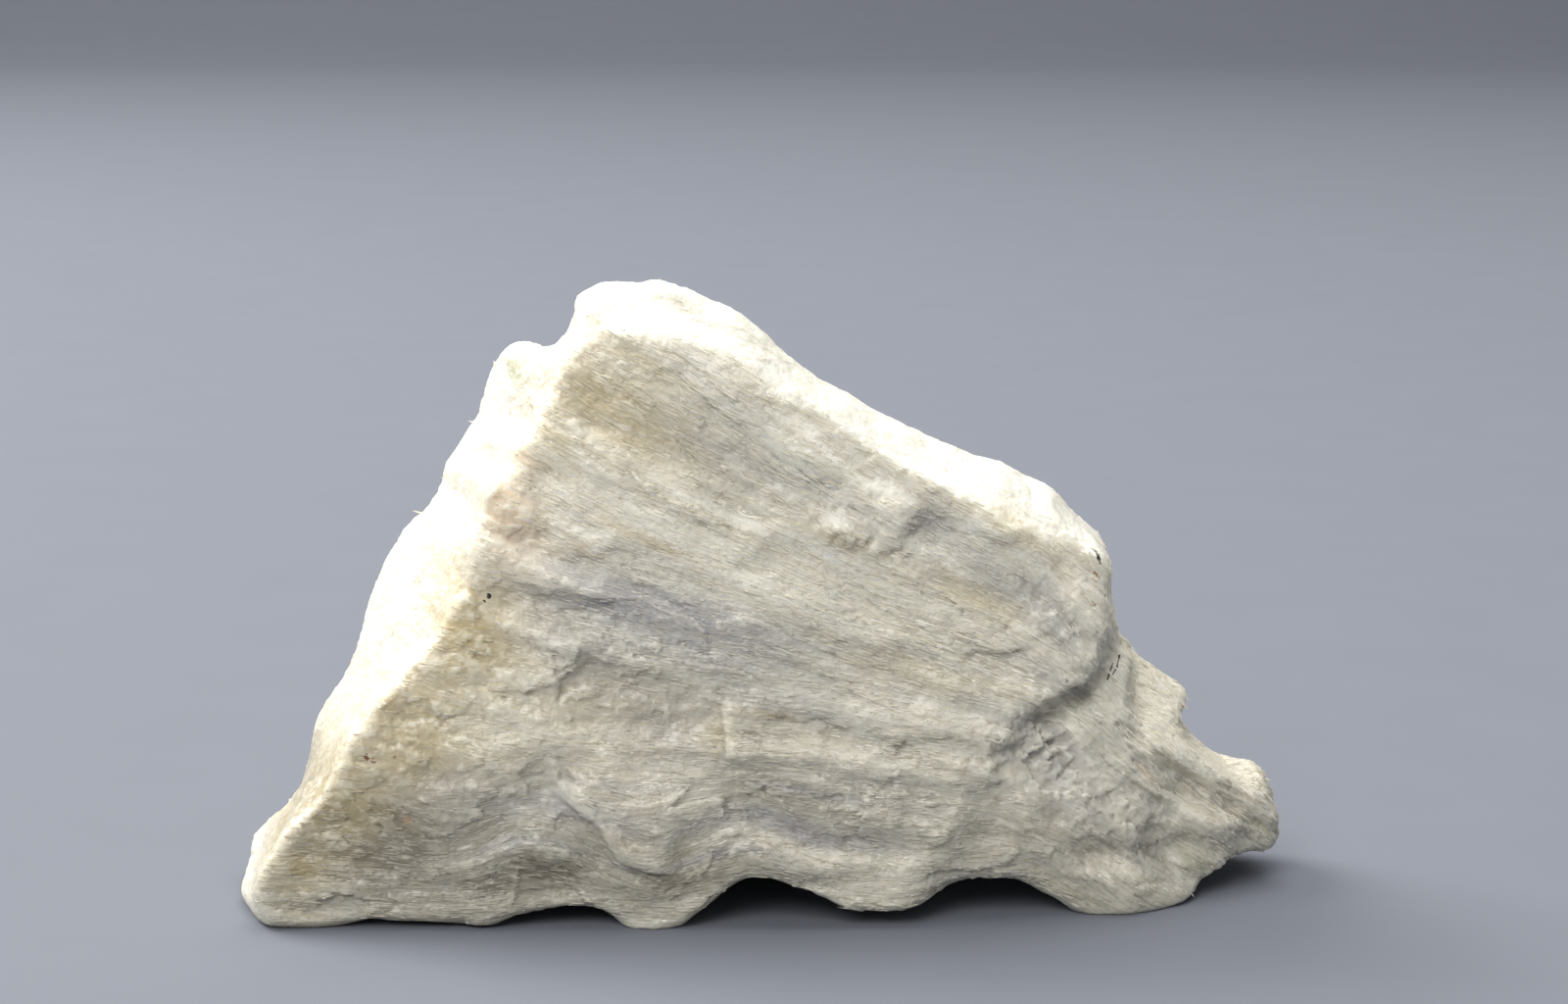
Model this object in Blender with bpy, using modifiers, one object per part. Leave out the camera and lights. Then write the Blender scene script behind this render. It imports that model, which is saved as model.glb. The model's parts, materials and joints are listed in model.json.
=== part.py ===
"""Wollastonite hand specimen: one broken piece of fibrous white wollastonite standing on its lower edge.

Run it with blender --background --python part.py, or from Blender's text editor.

Frame: metres, +Z up. +X runs to the right across the main face, and +Y runs from that face to the back.
The origin is on the surface that the stone stands on, under the middle of its bounding box.
The numbers below are millimetres, and MM turns them into metres.
"""

import bmesh
import bpy
import numpy as np
from mathutils import Vector, noise

MM = 0.001
STONE = "wollastonite_mass"
COLLECTION = "wollastonite_specimen"

# Driving dimensions, in millimetres
BLANK_DEPTH = 40.0
FACE_FOOT_Y = -17.0  # the main face at the level of the table
FACE_LEAN = 0.15  # how far the main face leans back for each millimetre of height
FACE_SWELL = 1.2  # height of the slow swells of the main face, and their lengths over 2 pi
FACE_SWELL_X = 19.0
FACE_SWELL_Z = 16.0
FACE_SWELL_SHIFT = 12.0
FACE_BEND_X = 16.0  # right of this the main face curves back
FACE_BEND = 0.009
LEAST_THICKNESS = 3.0  # from the front to the back along the thin crest
EDGE_ROUND = 1.0
EDGE_SHARE = 0.35  # the most of the thickness that the rounding takes from either side
SLAB_END_WIDTHS = [(0.0, 5.0), (12.0, 4.0), (18.0, 2.4), (32.0, 1.6)]  # (z, run of the step down its end)
BLANK_VOXEL = 1.0
CARVE_VOXEL = 0.6
TRIANGLES = 9700
FRONT_FROM = 0.25  # how squarely a surface faces the front before it takes the front's relief
FRONT_RUN = 0.4

# The outline of the stone as seen square to its main face: (x, z), clockwise from the toe at the lower left.
LEFT_EDGE = [
    (-51.7, 0.0), (-52.9, 1.2), (-51.5, 2.8), (-50.2, 4.5), (-48.2, 7.0), (-46.9, 10.0), (-46.2, 13.5),
    (-45.7, 16.5), (-44.0, 18.7), (-42.8, 20.0), (-41.8, 22.8), (-40.8, 26.0), (-39.2, 30.5), (-38.0, 33.5),
    (-36.5, 35.8), (-34.5, 37.6), (-32.5, 40.0), (-32.6, 42.3), (-31.0, 44.2), (-29.6, 46.6), (-28.4, 48.6),
    (-27.9, 51.0), (-26.5, 53.5), (-25.4, 54.6), (-22.5, 54.8), (-21.6, 54.3), (-20.2, 55.6), (-19.5, 57.8),
]
CREST = [
    (-18.8, 60.3), (-17.0, 60.9), (-15.0, 61.8), (-12.0, 61.7), (-11.0, 62.0), (-8.0, 60.9), (-6.8, 60.6),
    (-5.8, 59.5), (-4.2, 59.3), (-2.5, 58.2), (-0.5, 56.6), (2.0, 54.2), (5.0, 51.7), (8.0, 50.1),
    (10.5, 48.2), (13.0, 47.1), (16.5, 45.5), (18.0, 45.1), (21.0, 43.5), (23.0, 43.4), (26.0, 41.2),
    (28.0, 40.6), (28.8, 39.2), (31.5, 36.8), (33.6, 34.7),
]
SNOUT_EDGE = [
    (33.5, 31.0), (34.3, 27.0), (35.2, 24.8), (38.0, 21.9), (41.2, 19.9), (43.2, 18.7), (43.0, 17.9),
    (41.0, 17.6), (42.4, 14.4), (45.6, 11.8), (47.8, 10.3), (48.8, 9.9), (49.4, 10.5), (50.2, 10.2),
    (50.9, 8.2), (51.9, 5.6), (51.7, 3.8), (50.4, 2.8), (48.0, 3.3),
]
LOWER_EDGE = [
    (46.2, 3.0), (44.6, 1.8), (43.0, 1.0), (40.5, 0.4), (38.0, 0.0), (33.0, 0.0), (30.5, 0.6),
    (28.0, 1.7), (25.5, 3.0), (23.0, 3.9), (21.0, 4.0), (18.5, 3.4), (16.5, 2.2), (14.5, 1.2),
    (10.0, 1.4), (7.5, 1.6), (5.0, 2.7), (3.0, 3.5), (1.0, 4.4), (-0.5, 4.7), (-2.0, 4.5),
    (-3.5, 3.8), (-5.5, 2.2), (-7.5, 0.9), (-10.0, 0.2), (-11.7, -0.4), (-13.0, 0.0), (-14.5, 1.0),
    (-18.0, 1.7), (-22.0, 1.3), (-25.0, 0.9), (-26.5, -0.2), (-28.6, -0.6), (-29.4, 0.9), (-31.0, 0.2),
    (-36.0, 0.4), (-39.5, 0.8), (-42.5, 0.4), (-46.0, 0.2),
]
OUTLINE = LEFT_EDGE + CREST + SNOUT_EDGE + LOWER_EDGE

# The arris where the main face turns into the steep left face: (x, z), and how far back that face has
# fallen where it reaches the outline: (y, z).
LEFT_ARRIS = [
    (-48.8, 0.0), (-49.7, 3.9), (-49.1, 6.4), (-47.7, 8.9), (-46.0, 10.8), (-43.6, 13.0), (-42.7, 14.7),
    (-41.1, 17.5), (-39.8, 19.9), (-37.9, 22.1), (-35.1, 25.1), (-32.5, 28.1), (-30.6, 30.9), (-28.7, 33.5),
    (-28.0, 36.3), (-27.2, 40.1), (-26.6, 43.2), (-23.8, 43.8), (-24.9, 45.1), (-24.5, 46.9), (-22.4, 47.5),
    (-21.0, 51.1), (-19.5, 54.5), (-18.4, 58.0),
]
LEFT_FALL = [
    (-9.0, 0.0), (-5.0, 7.0), (-3.0, 11.0), (-1.0, 17.0), (0.0, 24.0), (1.0, 36.0), (2.0, 52.0), (-3.0, 60.0),
]
LEFT_CURVE = 0.85  # below 1 the left face drops fast at its arris and flattens further back
LEFT_OVERRUN = 1.15

# The arris where the main face turns into the narrow upper face, and the depth of the crest behind it.
CREST_ARRIS = [
    (-18.9, 55.7), (-16.3, 56.9), (-13.7, 57.8), (-10.4, 57.3), (-7.1, 56.1), (-3.8, 56.0), (-1.0, 54.2),
    (2.3, 51.6), (6.1, 49.2), (9.9, 46.8), (13.2, 44.5), (16.5, 42.4), (20.3, 40.5), (24.6, 38.7),
    (28.3, 37.2), (31.5, 35.6),
]
CREST_Y = -4.5
CREST_RUN = (-19.5, 34.5)  # from its left end to its right end
CREST_CURVE = 0.9
CREST_OVERRUN = 1.1
LEAST_BAND = 1.2  # the least height of the upper face above its arris

# The broken right-hand end of the front slab, top to bottom, and hand-set depths of the hollow, the foot and
# the snout beyond it: (x, z, y).
SLAB_END = [
    (33.5, 31.0), (33.4, 28.0), (33.1, 25.8), (31.4, 23.3), (28.9, 21.8), (26.0, 21.0), (24.6, 19.6),
    (23.3, 17.8), (21.4, 15.6), (20.8, 12.4), (19.4, 9.5), (17.6, 7.2), (15.8, 3.5), (15.0, 0.0),
]
RIGHT_DEPTHS = [
    (34.2, 30.0, -5.4), (34.2, 26.0, -4.8), (32.0, 22.6, -5.0), (28.8, 20.4, -7.4), (26.0, 19.0, -9.2),
    (24.4, 16.4, -11.2), (22.6, 12.6, -12.4), (21.4, 8.0, -13.2), (19.0, 4.0, -13.8), (35.6, 22.4, -6.8),
    (32.0, 18.0, -9.2), (28.0, 15.6, -10.8), (26.6, 9.4, -12.2), (30.5, 3.0, -12.2), (35.0, 1.5, -12.6),
    (32.0, 9.0, -11.6), (40.0, 2.5, -10.0), (45.0, 3.0, -6.0), (35.0, 14.0, -9.8), (38.0, 14.5, -8.8),
    (37.2, 20.4, -6.2), (39.5, 18.6, -6.0), (41.6, 15.6, -5.2), (43.8, 12.4, -4.6), (42.0, 7.0, -7.6),
    (46.0, 9.5, -4.4), (50.0, 9.5, -1.8), (52.0, 5.5, 0.4), (49.5, 4.5, -2.4),
]
RIGHT_SPREAD = 2.2

# The facet along the upper edge of the snout: two points of its lower edge (x, y, z), how steeply it leans
# back, and where it starts.
SNOUT_FACET = [(37.2, -5.8, 17.6), (48.9, -2.6, 10.4)]
SNOUT_FACET_LEAN = 2.0
SNOUT_FACET_X = 36.4

# Planes that cleave the back: y is at most reach + slope_x * x + slope_z * z.
BACK_PLANES = [
    (18.6, 0.0, 0.0),  # the steep lower back
    (22.6, -0.06, -0.45),  # the long slope up to the crest
    (40.5, 0.72, -0.05),  # the taper to the left toe
    (34.5, -0.46, -0.10),  # the taper to the snout
    (25.5, -0.30, -0.34),  # an oblique facet on the right shoulder
    (27.0, 0.30, -0.42),  # an oblique facet behind the left face
]

# Ledges where sheets of fibres end on the main face. The raised side is on the left of each line as it runs.
LEDGES = [
    {"line": [(-20.4, 13.6), (-17.6, 11.4), (-15.9, 10.2), (-14.9, 8.1), (-14.0, 6.6), (-11.4, 5.6),
              (-8.0, 5.3)], "height": 1.1, "reach": 12.0},
    {"line": [(-27.5, 23.4), (-23.2, 23.1), (-19.9, 24.0), (-18.2, 25.6), (-17.2, 29.0)],
     "height": 0.7, "reach": 8.0},
    {"line": [(-4.2, 22.6), (-3.9, 19.0), (-3.6, 15.4)], "height": 0.7, "reach": 9.0},
    {"line": [(4.0, 39.2), (6.5, 37.5), (10.4, 35.9), (12.5, 36.9), (13.4, 38.9), (16.0, 40.3), (19.0, 39.0),
              (22.0, 37.2), (26.0, 36.8)], "height": 0.9, "reach": 9.0},
    {"line": [(-24.5, 46.2), (-17.5, 44.2), (-9.9, 41.0), (-2.4, 37.2), (4.2, 33.6), (9.0, 31.2)],
     "height": 0.5, "reach": 7.0},
    {"line": [(-22.5, 44.8), (-22.3, 41.0), (-21.8, 37.0)], "height": -0.7, "reach": 5.0},
    {"line": [(9.5, 26.6), (4.2, 28.2), (-2.4, 31.4), (-9.9, 34.6), (-17.0, 37.2)],
     "height": 0.4, "reach": 6.0},
    {"line": [(-18.0, 53.0), (-8.0, 50.0), (0.0, 45.6), (7.5, 41.8)], "height": 0.4, "reach": 6.0},
    {"line": [(26.0, 26.6), (22.2, 26.1), (17.5, 26.4), (12.0, 28.4)], "height": -0.6, "reach": 6.0},
    {"line": [(10.0, 19.4), (4.2, 20.5), (-1.4, 20.4)], "height": -0.5, "reach": 5.0},
    {"line": [(-38.0, 21.0), (-30.0, 21.4), (-24.0, 20.2), (-18.0, 20.6)], "height": 0.4, "reach": 6.0},
]
LEDGE_WIDTH = 0.9
LEDGE_END = 0.15  # the share of a ledge's length over which it fades at each end
LEDGE_FADE = 1.6  # how fast its raised side sinks back into the face

# Channels that follow the folded fibres low on the face, the hollow and the snout.
CHANNELS = [
    {"line": [(-31.8, 7.6), (-29.0, 8.4), (-26.1, 10.6), (-23.3, 12.0), (-20.4, 11.6), (-17.0, 10.0)],
     "depth": 0.5, "width": 1.6},
    {"line": [(-12.0, 5.2), (-9.0, 7.0), (-6.2, 9.0), (-3.3, 10.4), (-0.5, 10.9), (2.3, 10.5), (5.2, 9.4),
              (9.0, 8.3), (13.7, 7.7), (18.0, 8.4)], "depth": 0.6, "width": 1.7},
    {"line": [(-47.0, 7.4), (-40.0, 6.2), (-33.0, 4.6), (-27.0, 3.6)], "depth": 0.4, "width": 1.5},
    {"line": [(29.0, 6.2), (34.4, 5.9), (38.4, 5.3), (43.0, 6.2)], "depth": 1.1, "width": 1.2},
    {"line": [(36.2, 24.0), (36.8, 19.0), (37.2, 13.0)], "depth": 0.9, "width": 1.1},
    {"line": [(37.4, 14.8), (41.0, 11.6), (44.5, 9.5), (48.0, 8.4)], "depth": 1.2, "width": 1.6},
    {"line": [(37.8, 9.8), (42.0, 8.0), (46.0, 7.0), (50.0, 6.8)], "depth": -0.9, "width": 1.2},
]
CHANNEL_END = 0.12

# Pits, and a knob at the end of the snout with its depth below zero: (x, z, radius, depth).
PITS = [(-21.8, 14.6, 2.0, 1.0), (16.5, 38.4, 2.3, 1.4), (28.0, 33.8, 2.2, 0.9), (-32.0, 14.2, 3.2, 0.8),
        (23.6, 30.4, 2.6, 0.7), (-24.6, 25.4, 2.4, 0.6), (48.2, 6.4, 1.4, 0.9),
        (50.6, 7.0, 1.8, -1.0)]

# The underside at the back: (x, z) heights that the lower edge changes to, and the feet that bear on the
# table: (x, y, radius).
BACK_UNDERSIDE = [
    (-53.0, 3.0), (-44.0, 2.2), (-34.0, 0.8), (-24.0, 0.6), (-14.0, 1.8), (-4.0, 2.2), (6.0, 0.8),
    (14.0, 1.0), (18.5, 3.2), (23.0, 4.2), (28.0, 3.4), (36.0, 3.2), (44.0, 3.6), (53.0, 5.0),
]
UNDERSIDE_START = 0.15  # the share of the depth at which the lower edge starts to change
UNDERSIDE_RUN = 0.6
UNDERSIDE_REACH = 10.0  # how far up the stone the change is felt
FEET = [(-44.0, -10.5, 6.0), (-11.5, -14.0, 4.0), (36.0, -9.0, 6.5), (-28.5, 11.5, 7.5), (8.5, 12.5, 6.5)]
FOOT_DROP = 1.3  # how much lower a foot hangs than the underside round it, before the table cuts it flat
FOOT_HEIGHT = 5.0
FOOT_SPREAD = 1.4  # in foot radii: where the lowering starts
FOOT_EDGE = 0.15  # the share of the lowering from which the table may cut the stone
UNDERSIDE_CLEARANCE = 0.3
FLAT_BELOW = 0.12  # what ends up lower than this lies on the table

# The fibres fall to the right, more steeply higher up: slope at each value of z + SLOPE_TILT * x. Low down
# they fold into waves, and at the snout they turn down.
FIBRE_START_X = -25.0
FIBRE_STEPS = 24
SLOPE_TILT = 0.2
SLOPE_LEVELS = [4.0, 12.0, 22.0, 30.0, 37.0, 48.0, 60.0]
SLOPES = [0.05, 0.09, 0.2, 0.35, 0.48, 0.58, 0.62]
SNOUT_X = 22.0
SNOUT_TURN = 0.6
SNOUT_LENGTH = 11.0
FOLD_HEIGHT = 1.5
FOLD_LENGTH = 20.5
FOLD_CREST_X = -1.5
FOLD_Z = 8.5
FOLD_REACH = 5.0
FOLD_MIDDLE_X = -14.0
FOLD_HALF_RUN = 20.0
FOLD_EDGE = 6  # the power that ends the folds sharply at either side

# Blades of fibres, whose flat tops step up and down: (height, length along the fibres, width, thickness).
BLADES = [(0.4, 22.0, 4.4, 9.0), (0.36, 11.0, 2.6, 5.0)]
BLADE_TILT = 0.5
CELL_STRIDE = 7.0  # sets how the blades' heights differ from one to the next
LUMPS = [(0.6, 14.0), (0.4, 5.5)]  # height and size of the lumps that all sides share
LUMP_PLACE = (3.7, 1.3, 8.1)  # where in the noise the lumps are taken from
CALM_RIM = (0.45, 4.0)  # the share of the relief left at the outline, and how far in it is whole again
CALM_ARRIS = (0.45, 5.0)  # the same for the blades, at the left arris and on the face beyond it
GROW_BACK = 0.15  # makes up for what the voxel passes take off the arrises
HOLLOW = (29.0, 16.5, 8.0)  # the middle and the radius of the hollow beyond the slab's end
HOLLOW_GRAIN = (1.3, 3.4)  # height and size of the knobs in it
HOLLOW_PLACE = (9.2, 1.3, 8.1)
HOLLOW_CALM = 0.7  # the share of the blades that is missing there

MINERAL_COLOUR = (0.86, 0.85, 0.80, 1.0)


def clear_scene():
    for obj in list(bpy.data.objects):
        bpy.data.objects.remove(obj, do_unlink=True)


def columns(points):
    """The columns of a list of tuples, as arrays."""
    return np.array(points, float).T


def smoothstep(value):
    value = np.clip(value, 0.0, 1.0)
    return value * value * (3.0 - 2.0 * value)


def fibre_slope(x, z):
    """How steeply the fibres fall to the right at each (x, z)."""
    slope = np.interp(z + SLOPE_TILT * x, SLOPE_LEVELS, SLOPES)
    slope = slope + SNOUT_TURN * smoothstep((x - SNOUT_X) / SNOUT_LENGTH)
    wave = 2 * np.pi / FOLD_LENGTH
    fold = FOLD_HEIGHT * wave * np.sin(wave * (x - FOLD_CREST_X))
    fold = fold * np.exp(-(((z - FOLD_Z) / FOLD_REACH) ** 2))
    return slope + fold * np.exp(-(((x - FOLD_MIDDLE_X) / FOLD_HALF_RUN) ** FOLD_EDGE))


def fibre_level(x, z):
    """The height at which the fibre through each point crosses FIBRE_START_X."""
    step = (FIBRE_START_X - x) / FIBRE_STEPS
    for _ in range(FIBRE_STEPS):
        z = z - fibre_slope(x + 0.5 * step, z) * step
        x = x + step
    return z


def from_line(x, z, line):
    """Distance to a line of points, positive on its left, and how far along it the nearest point is."""
    points = np.array(line, float)
    starts, spans = points[:-1], points[1:] - points[:-1]
    lengths = np.linalg.norm(spans, axis=1)
    before = np.cumsum(lengths) - lengths
    best = np.full(x.shape, np.inf)
    side, along = np.zeros(x.shape), np.zeros(x.shape)
    for start, span, length, passed in zip(starts, spans, lengths, before):
        dx, dz = x - start[0], z - start[1]
        share = np.clip((dx * span[0] + dz * span[1]) / length**2, 0.0, 1.0)
        away = np.hypot(dx - share * span[0], dz - share * span[1])
        nearer = away < best
        best = np.where(nearer, away, best)
        side = np.where(nearer, np.sign(span[0] * dz - span[1] * dx), side)
        along = np.where(nearer, (passed + share * length) / lengths.sum(), along)
    return best * side, along


def on_slab(x, z):
    """1 on the front slab, 0 beyond its broken right-hand end, with a steep step between them."""
    end_x, end_z = columns(SLAB_END[::-1])
    width_z, width = columns(SLAB_END_WIDTHS)
    return smoothstep(0.5 + (np.interp(z, end_z, end_x) - x) / np.interp(z, width_z, width))


def snout_facet(x, z):
    """The plane of the facet along the snout's upper edge: y at each (x, z)."""
    (from_x, from_y, from_z), (to_x, to_y, to_z) = SNOUT_FACET
    length = np.hypot(to_x - from_x, to_z - from_z)
    run_x, run_z = (to_x - from_x) / length, (to_z - from_z) / length
    along = (x - from_x) * run_x + (z - from_z) * run_z
    above = (z - from_z) * run_x - (x - from_x) * run_z
    return from_y + (to_y - from_y) * along / length + SNOUT_FACET_LEAN * above


def front_depth(x, z):
    """The front of the stone: y at each (x, z) of the outline's plane."""
    swell = FACE_SWELL * np.sin((x + FACE_SWELL_SHIFT) / FACE_SWELL_X) * np.sin(z / FACE_SWELL_Z)
    face = FACE_FOOT_Y + FACE_LEAN * z + swell
    face = face + FACE_BEND * np.maximum(x - FACE_BEND_X, 0.0) ** 2

    edge_x, edge_z = columns(LEFT_EDGE)
    arris_x, arris_z = columns(LEFT_ARRIS)
    fall_y, fall_z = columns(LEFT_FALL)
    corner = np.interp(z, arris_z, arris_x)
    width = np.maximum(corner - np.interp(z, edge_z, edge_x), 1.0)
    share = np.clip((corner - x) / width, 0.0, LEFT_OVERRUN)
    face = face + (np.interp(z, fall_z, fall_y) - face) * share**LEFT_CURVE

    crest_x, crest_z = columns(CREST)
    ridge_x, ridge_z = columns(CREST_ARRIS)
    turn = np.interp(x, ridge_x, ridge_z)
    height = np.maximum(np.interp(x, crest_x, crest_z) - turn, LEAST_BAND)
    share = np.clip((z - turn) / height, 0.0, CREST_OVERRUN) * (x > CREST_RUN[0]) * (x < CREST_RUN[1])
    face = face + np.maximum(CREST_Y - face, 0.0) * share**CREST_CURVE

    depth_x, depth_z, depth_y = columns(RIGHT_DEPTHS)
    squared = (x[:, None] - depth_x) ** 2 + (z[:, None] - depth_z) ** 2
    weight = np.exp(-squared / (2 * RIGHT_SPREAD**2)) + 1e-9
    right = (weight * depth_y).sum(axis=1) / weight.sum(axis=1)
    slab = on_slab(x, z)
    right = np.maximum(right, np.where(x > SNOUT_FACET_X, snout_facet(x, z), right))
    return face * slab + np.maximum(right, face) * (1.0 - slab)


def back_depth(x, z, front):
    """The back of the stone, cleft by its planes, and never closer to the front than the thin crest."""
    cuts = np.array([reach + slope_x * x + slope_z * z for reach, slope_x, slope_z in BACK_PLANES])
    return np.maximum(cuts.min(axis=0), front + LEAST_THICKNESS)


def line_ends(along, share):
    """1 along a line, fading to 0 over a share of its length at each end."""
    return smoothstep(along / share) * smoothstep((1.0 - along) / share)


def face_relief(x, z):
    """Ledges, channels and pits of the main face: how far each point stands proud of it."""
    proud = np.zeros(x.shape)
    for ledge in LEDGES:
        away, along = from_line(x, z, ledge["line"])
        fade = np.clip(1.0 - away / ledge["reach"], 0.0, 1.0) ** LEDGE_FADE
        proud += ledge["height"] * line_ends(along, LEDGE_END) * fade * smoothstep(0.5 + away / LEDGE_WIDTH)
    for channel in CHANNELS:
        away, along = from_line(x, z, channel["line"])
        proud -= channel["depth"] * line_ends(along, CHANNEL_END) * np.exp(-((away / channel["width"]) ** 2))
    for pit_x, pit_z, radius, depth in PITS:
        proud -= depth * np.exp(-(((x - pit_x) ** 2 + (z - pit_z) ** 2) / radius**2))
    return proud


def blades(along, level, depth, shape):
    """Steps between blades of fibres: each blade is a stretched cell with a height and a tilt of its own."""
    tall, length, width, thick = shape
    height = np.empty(len(along))
    for i, place in enumerate(zip(along / length, level / width, depth / thick)):
        seed = noise.voronoi(place)[1][0]
        height[i] = noise.cell(seed * CELL_STRIDE) - 0.5 + BLADE_TILT * (place[0] - seed[0])
    return tall * height


def lumps(points, tall, size, place):
    """Soft lumps of one height and size."""
    return tall * np.array([noise.noise(Vector(point) / size + Vector(place)) for point in points])


def make_blank():
    """A slab with the stone's outline, as thick as BLANK_DEPTH."""
    curve = bpy.data.curves.new("outline", "CURVE")
    curve.dimensions = "2D"
    curve.fill_mode = "BOTH"
    curve.extrude = BLANK_DEPTH / 2
    spline = curve.splines.new("POLY")
    spline.points.add(len(OUTLINE) - 1)
    for point, (x, z) in zip(spline.points, OUTLINE):
        point.co = (x, z, 0.0, 1.0)
    spline.use_cyclic_u = True
    guide = bpy.data.objects.new("outline", curve)
    guide.rotation_euler = (np.pi / 2, 0.0, 0.0)
    bpy.context.scene.collection.objects.link(guide)
    blank = applied(guide, "blank")
    bpy.data.objects.remove(guide)
    return blank


def applied(obj, name):
    """A new mesh object with obj's modifiers and transform applied, and its doubles welded."""
    bpy.context.view_layer.update()
    graph = bpy.context.evaluated_depsgraph_get()
    mesh = bpy.data.meshes.new_from_object(obj.evaluated_get(graph))
    mesh.transform(obj.matrix_world)
    shape = bmesh.new()
    shape.from_mesh(mesh)
    bmesh.ops.remove_doubles(shape, verts=shape.verts, dist=1e-4)
    bmesh.ops.recalc_face_normals(shape, faces=shape.faces)
    shape.to_mesh(mesh)
    shape.free()
    made = bpy.data.objects.new(name, mesh)
    bpy.context.scene.collection.objects.link(made)
    return made


def modified(obj, kind, **settings):
    """obj with one modifier applied."""
    modifier = obj.modifiers.new(kind.lower(), kind)
    for key, value in settings.items():
        setattr(modifier, key, value)
    made = applied(obj, obj.name + "_" + kind.lower())
    bpy.data.objects.remove(obj)
    return made


def points_of(mesh):
    flat = np.empty(len(mesh.vertices) * 3, np.float32)
    mesh.vertices.foreach_get("co", flat)
    return flat.reshape(-1, 3).astype(float)


def normals_of(mesh):
    flat = np.empty(len(mesh.vertices) * 3, np.float32)
    mesh.vertex_normals.foreach_get("vector", flat)
    return flat.reshape(-1, 3).astype(float)


def set_points(mesh, points):
    mesh.vertices.foreach_set("co", points.astype(np.float32).ravel())
    mesh.update()


def carve(mesh):
    """Moves the blank's points from its two flat sides to the front and the back of the stone."""
    points = points_of(mesh)
    x, y, z = points.T
    share = np.clip(y / BLANK_DEPTH + 0.5, 0.0, 1.0)
    to_edge = np.abs(from_line(x, z, OUTLINE + OUTLINE[:1])[0])
    inward = 1.0 - np.minimum(to_edge / EDGE_ROUND, 1.0)
    rounded = EDGE_ROUND * (1.0 - np.sqrt(1.0 - inward**2))
    front = front_depth(x, z)
    back = back_depth(x, z, front)
    slack = np.minimum(rounded, EDGE_SHARE * (back - front))
    points[:, 1] = front + slack + (back - front - 2 * slack) * share

    edge_x, edge_z = columns(LOWER_EDGE[::-1])
    under_x, under_z = columns(BACK_UNDERSIDE)
    bottom = np.interp(x, edge_x, edge_z)
    rise = (np.interp(x, under_x, under_z) - bottom) * smoothstep((share - UNDERSIDE_START) / UNDERSIDE_RUN)
    points[:, 2] = z + rise * np.clip(1.0 - (z - bottom) / UNDERSIDE_REACH, 0.0, 1.0)
    set_points(mesh, points)


def towards_front(normals):
    """1 where the surface faces the front, 0 where it doesn't."""
    return smoothstep((-normals[:, 1] - FRONT_FROM) / FRONT_RUN)


def calmed(distance, limits):
    """The share of the relief at a distance from an edge that calms it."""
    least, reach = limits
    return least + (1.0 - least) * smoothstep(distance / reach)


def add_relief(mesh):
    """Ledges, channels and pits on the main face, then blades of fibres and lumps all round."""
    points, normals = points_of(mesh), normals_of(mesh)
    x, _, z = points.T
    facing = towards_front(normals)
    points[:, 1] -= face_relief(x, z) * facing

    middle_x, middle_z, radius = HOLLOW
    squared = ((x - middle_x) ** 2 + (z - middle_z) ** 2) / radius**2
    in_hollow = np.exp(-(squared**2)) * facing * (1.0 - on_slab(x, z))
    arris_x, arris_z = columns(LEFT_ARRIS)
    level = fibre_level(x, z)
    height = sum(blades(x, level, points[:, 1], shape) for shape in BLADES)
    height *= calmed(x - np.interp(z, arris_z, arris_x), CALM_ARRIS) * (1.0 - HOLLOW_CALM * in_hollow)
    height += sum(lumps(points, tall, size, LUMP_PLACE) for tall, size in LUMPS)
    height += lumps(points, *HOLLOW_GRAIN, HOLLOW_PLACE) * in_hollow
    height *= calmed(np.abs(from_line(x, z, OUTLINE + OUTLINE[:1])[0]), CALM_RIM)
    set_points(mesh, points + normals * (height + GROW_BACK)[:, None])


def keep_largest(mesh):
    """Deletes every crumb that isn't joined to the largest body."""
    shape = bmesh.new()
    shape.from_mesh(mesh)
    waiting = set(shape.verts)
    bodies = []
    while waiting:
        edge = [waiting.pop()]
        body = list(edge)
        while edge:
            near = {link.other_vert(vert) for vert in edge for link in vert.link_edges} & waiting
            waiting -= near
            edge = list(near)
            body += edge
        bodies.append(body)
    bodies.sort(key=len)
    for crumb in bodies[:-1]:
        bmesh.ops.delete(shape, geom=crumb, context="VERTS")
    shape.to_mesh(mesh)
    shape.free()


def press_feet(mesh):
    """Lowers the feet until the table cuts them flat, and keeps the rest of the underside clear of it."""
    points = points_of(mesh)
    x, y, z = points.T
    low = np.clip(1.0 - z / FOOT_HEIGHT, 0.0, 1.0)
    floor = np.full(z.shape, UNDERSIDE_CLEARANCE)
    for foot_x, foot_y, radius in FEET:
        share = smoothstep(FOOT_SPREAD - np.hypot(x - foot_x, y - foot_y) / radius)
        z = z - FOOT_DROP * share * low
        floor = np.where(share > FOOT_EDGE, 0.0, floor)
    points[:, 2] = np.maximum(z, floor)
    set_points(mesh, points)


def settle(mesh):
    """Puts the flat feet exactly on z = 0 and the middle of the box over the origin, and scales to metres."""
    points = points_of(mesh)
    points[:, 2] = np.where(points[:, 2] < FLAT_BELOW, 0.0, points[:, 2])
    middle = (points.min(axis=0) + points.max(axis=0)) / 2
    points[:, :2] -= middle[:2]
    set_points(mesh, points * MM)


def mineral():
    """White to grey-white wollastonite with a silky, slightly translucent break."""
    material = bpy.data.materials.new("wollastonite")
    material.use_nodes = True
    surface = material.node_tree.nodes["Principled BSDF"]
    surface.inputs["Base Color"].default_value = MINERAL_COLOUR
    surface.inputs["Roughness"].default_value = 0.55
    surface.inputs["Metallic"].default_value = 0.0
    return material


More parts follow.
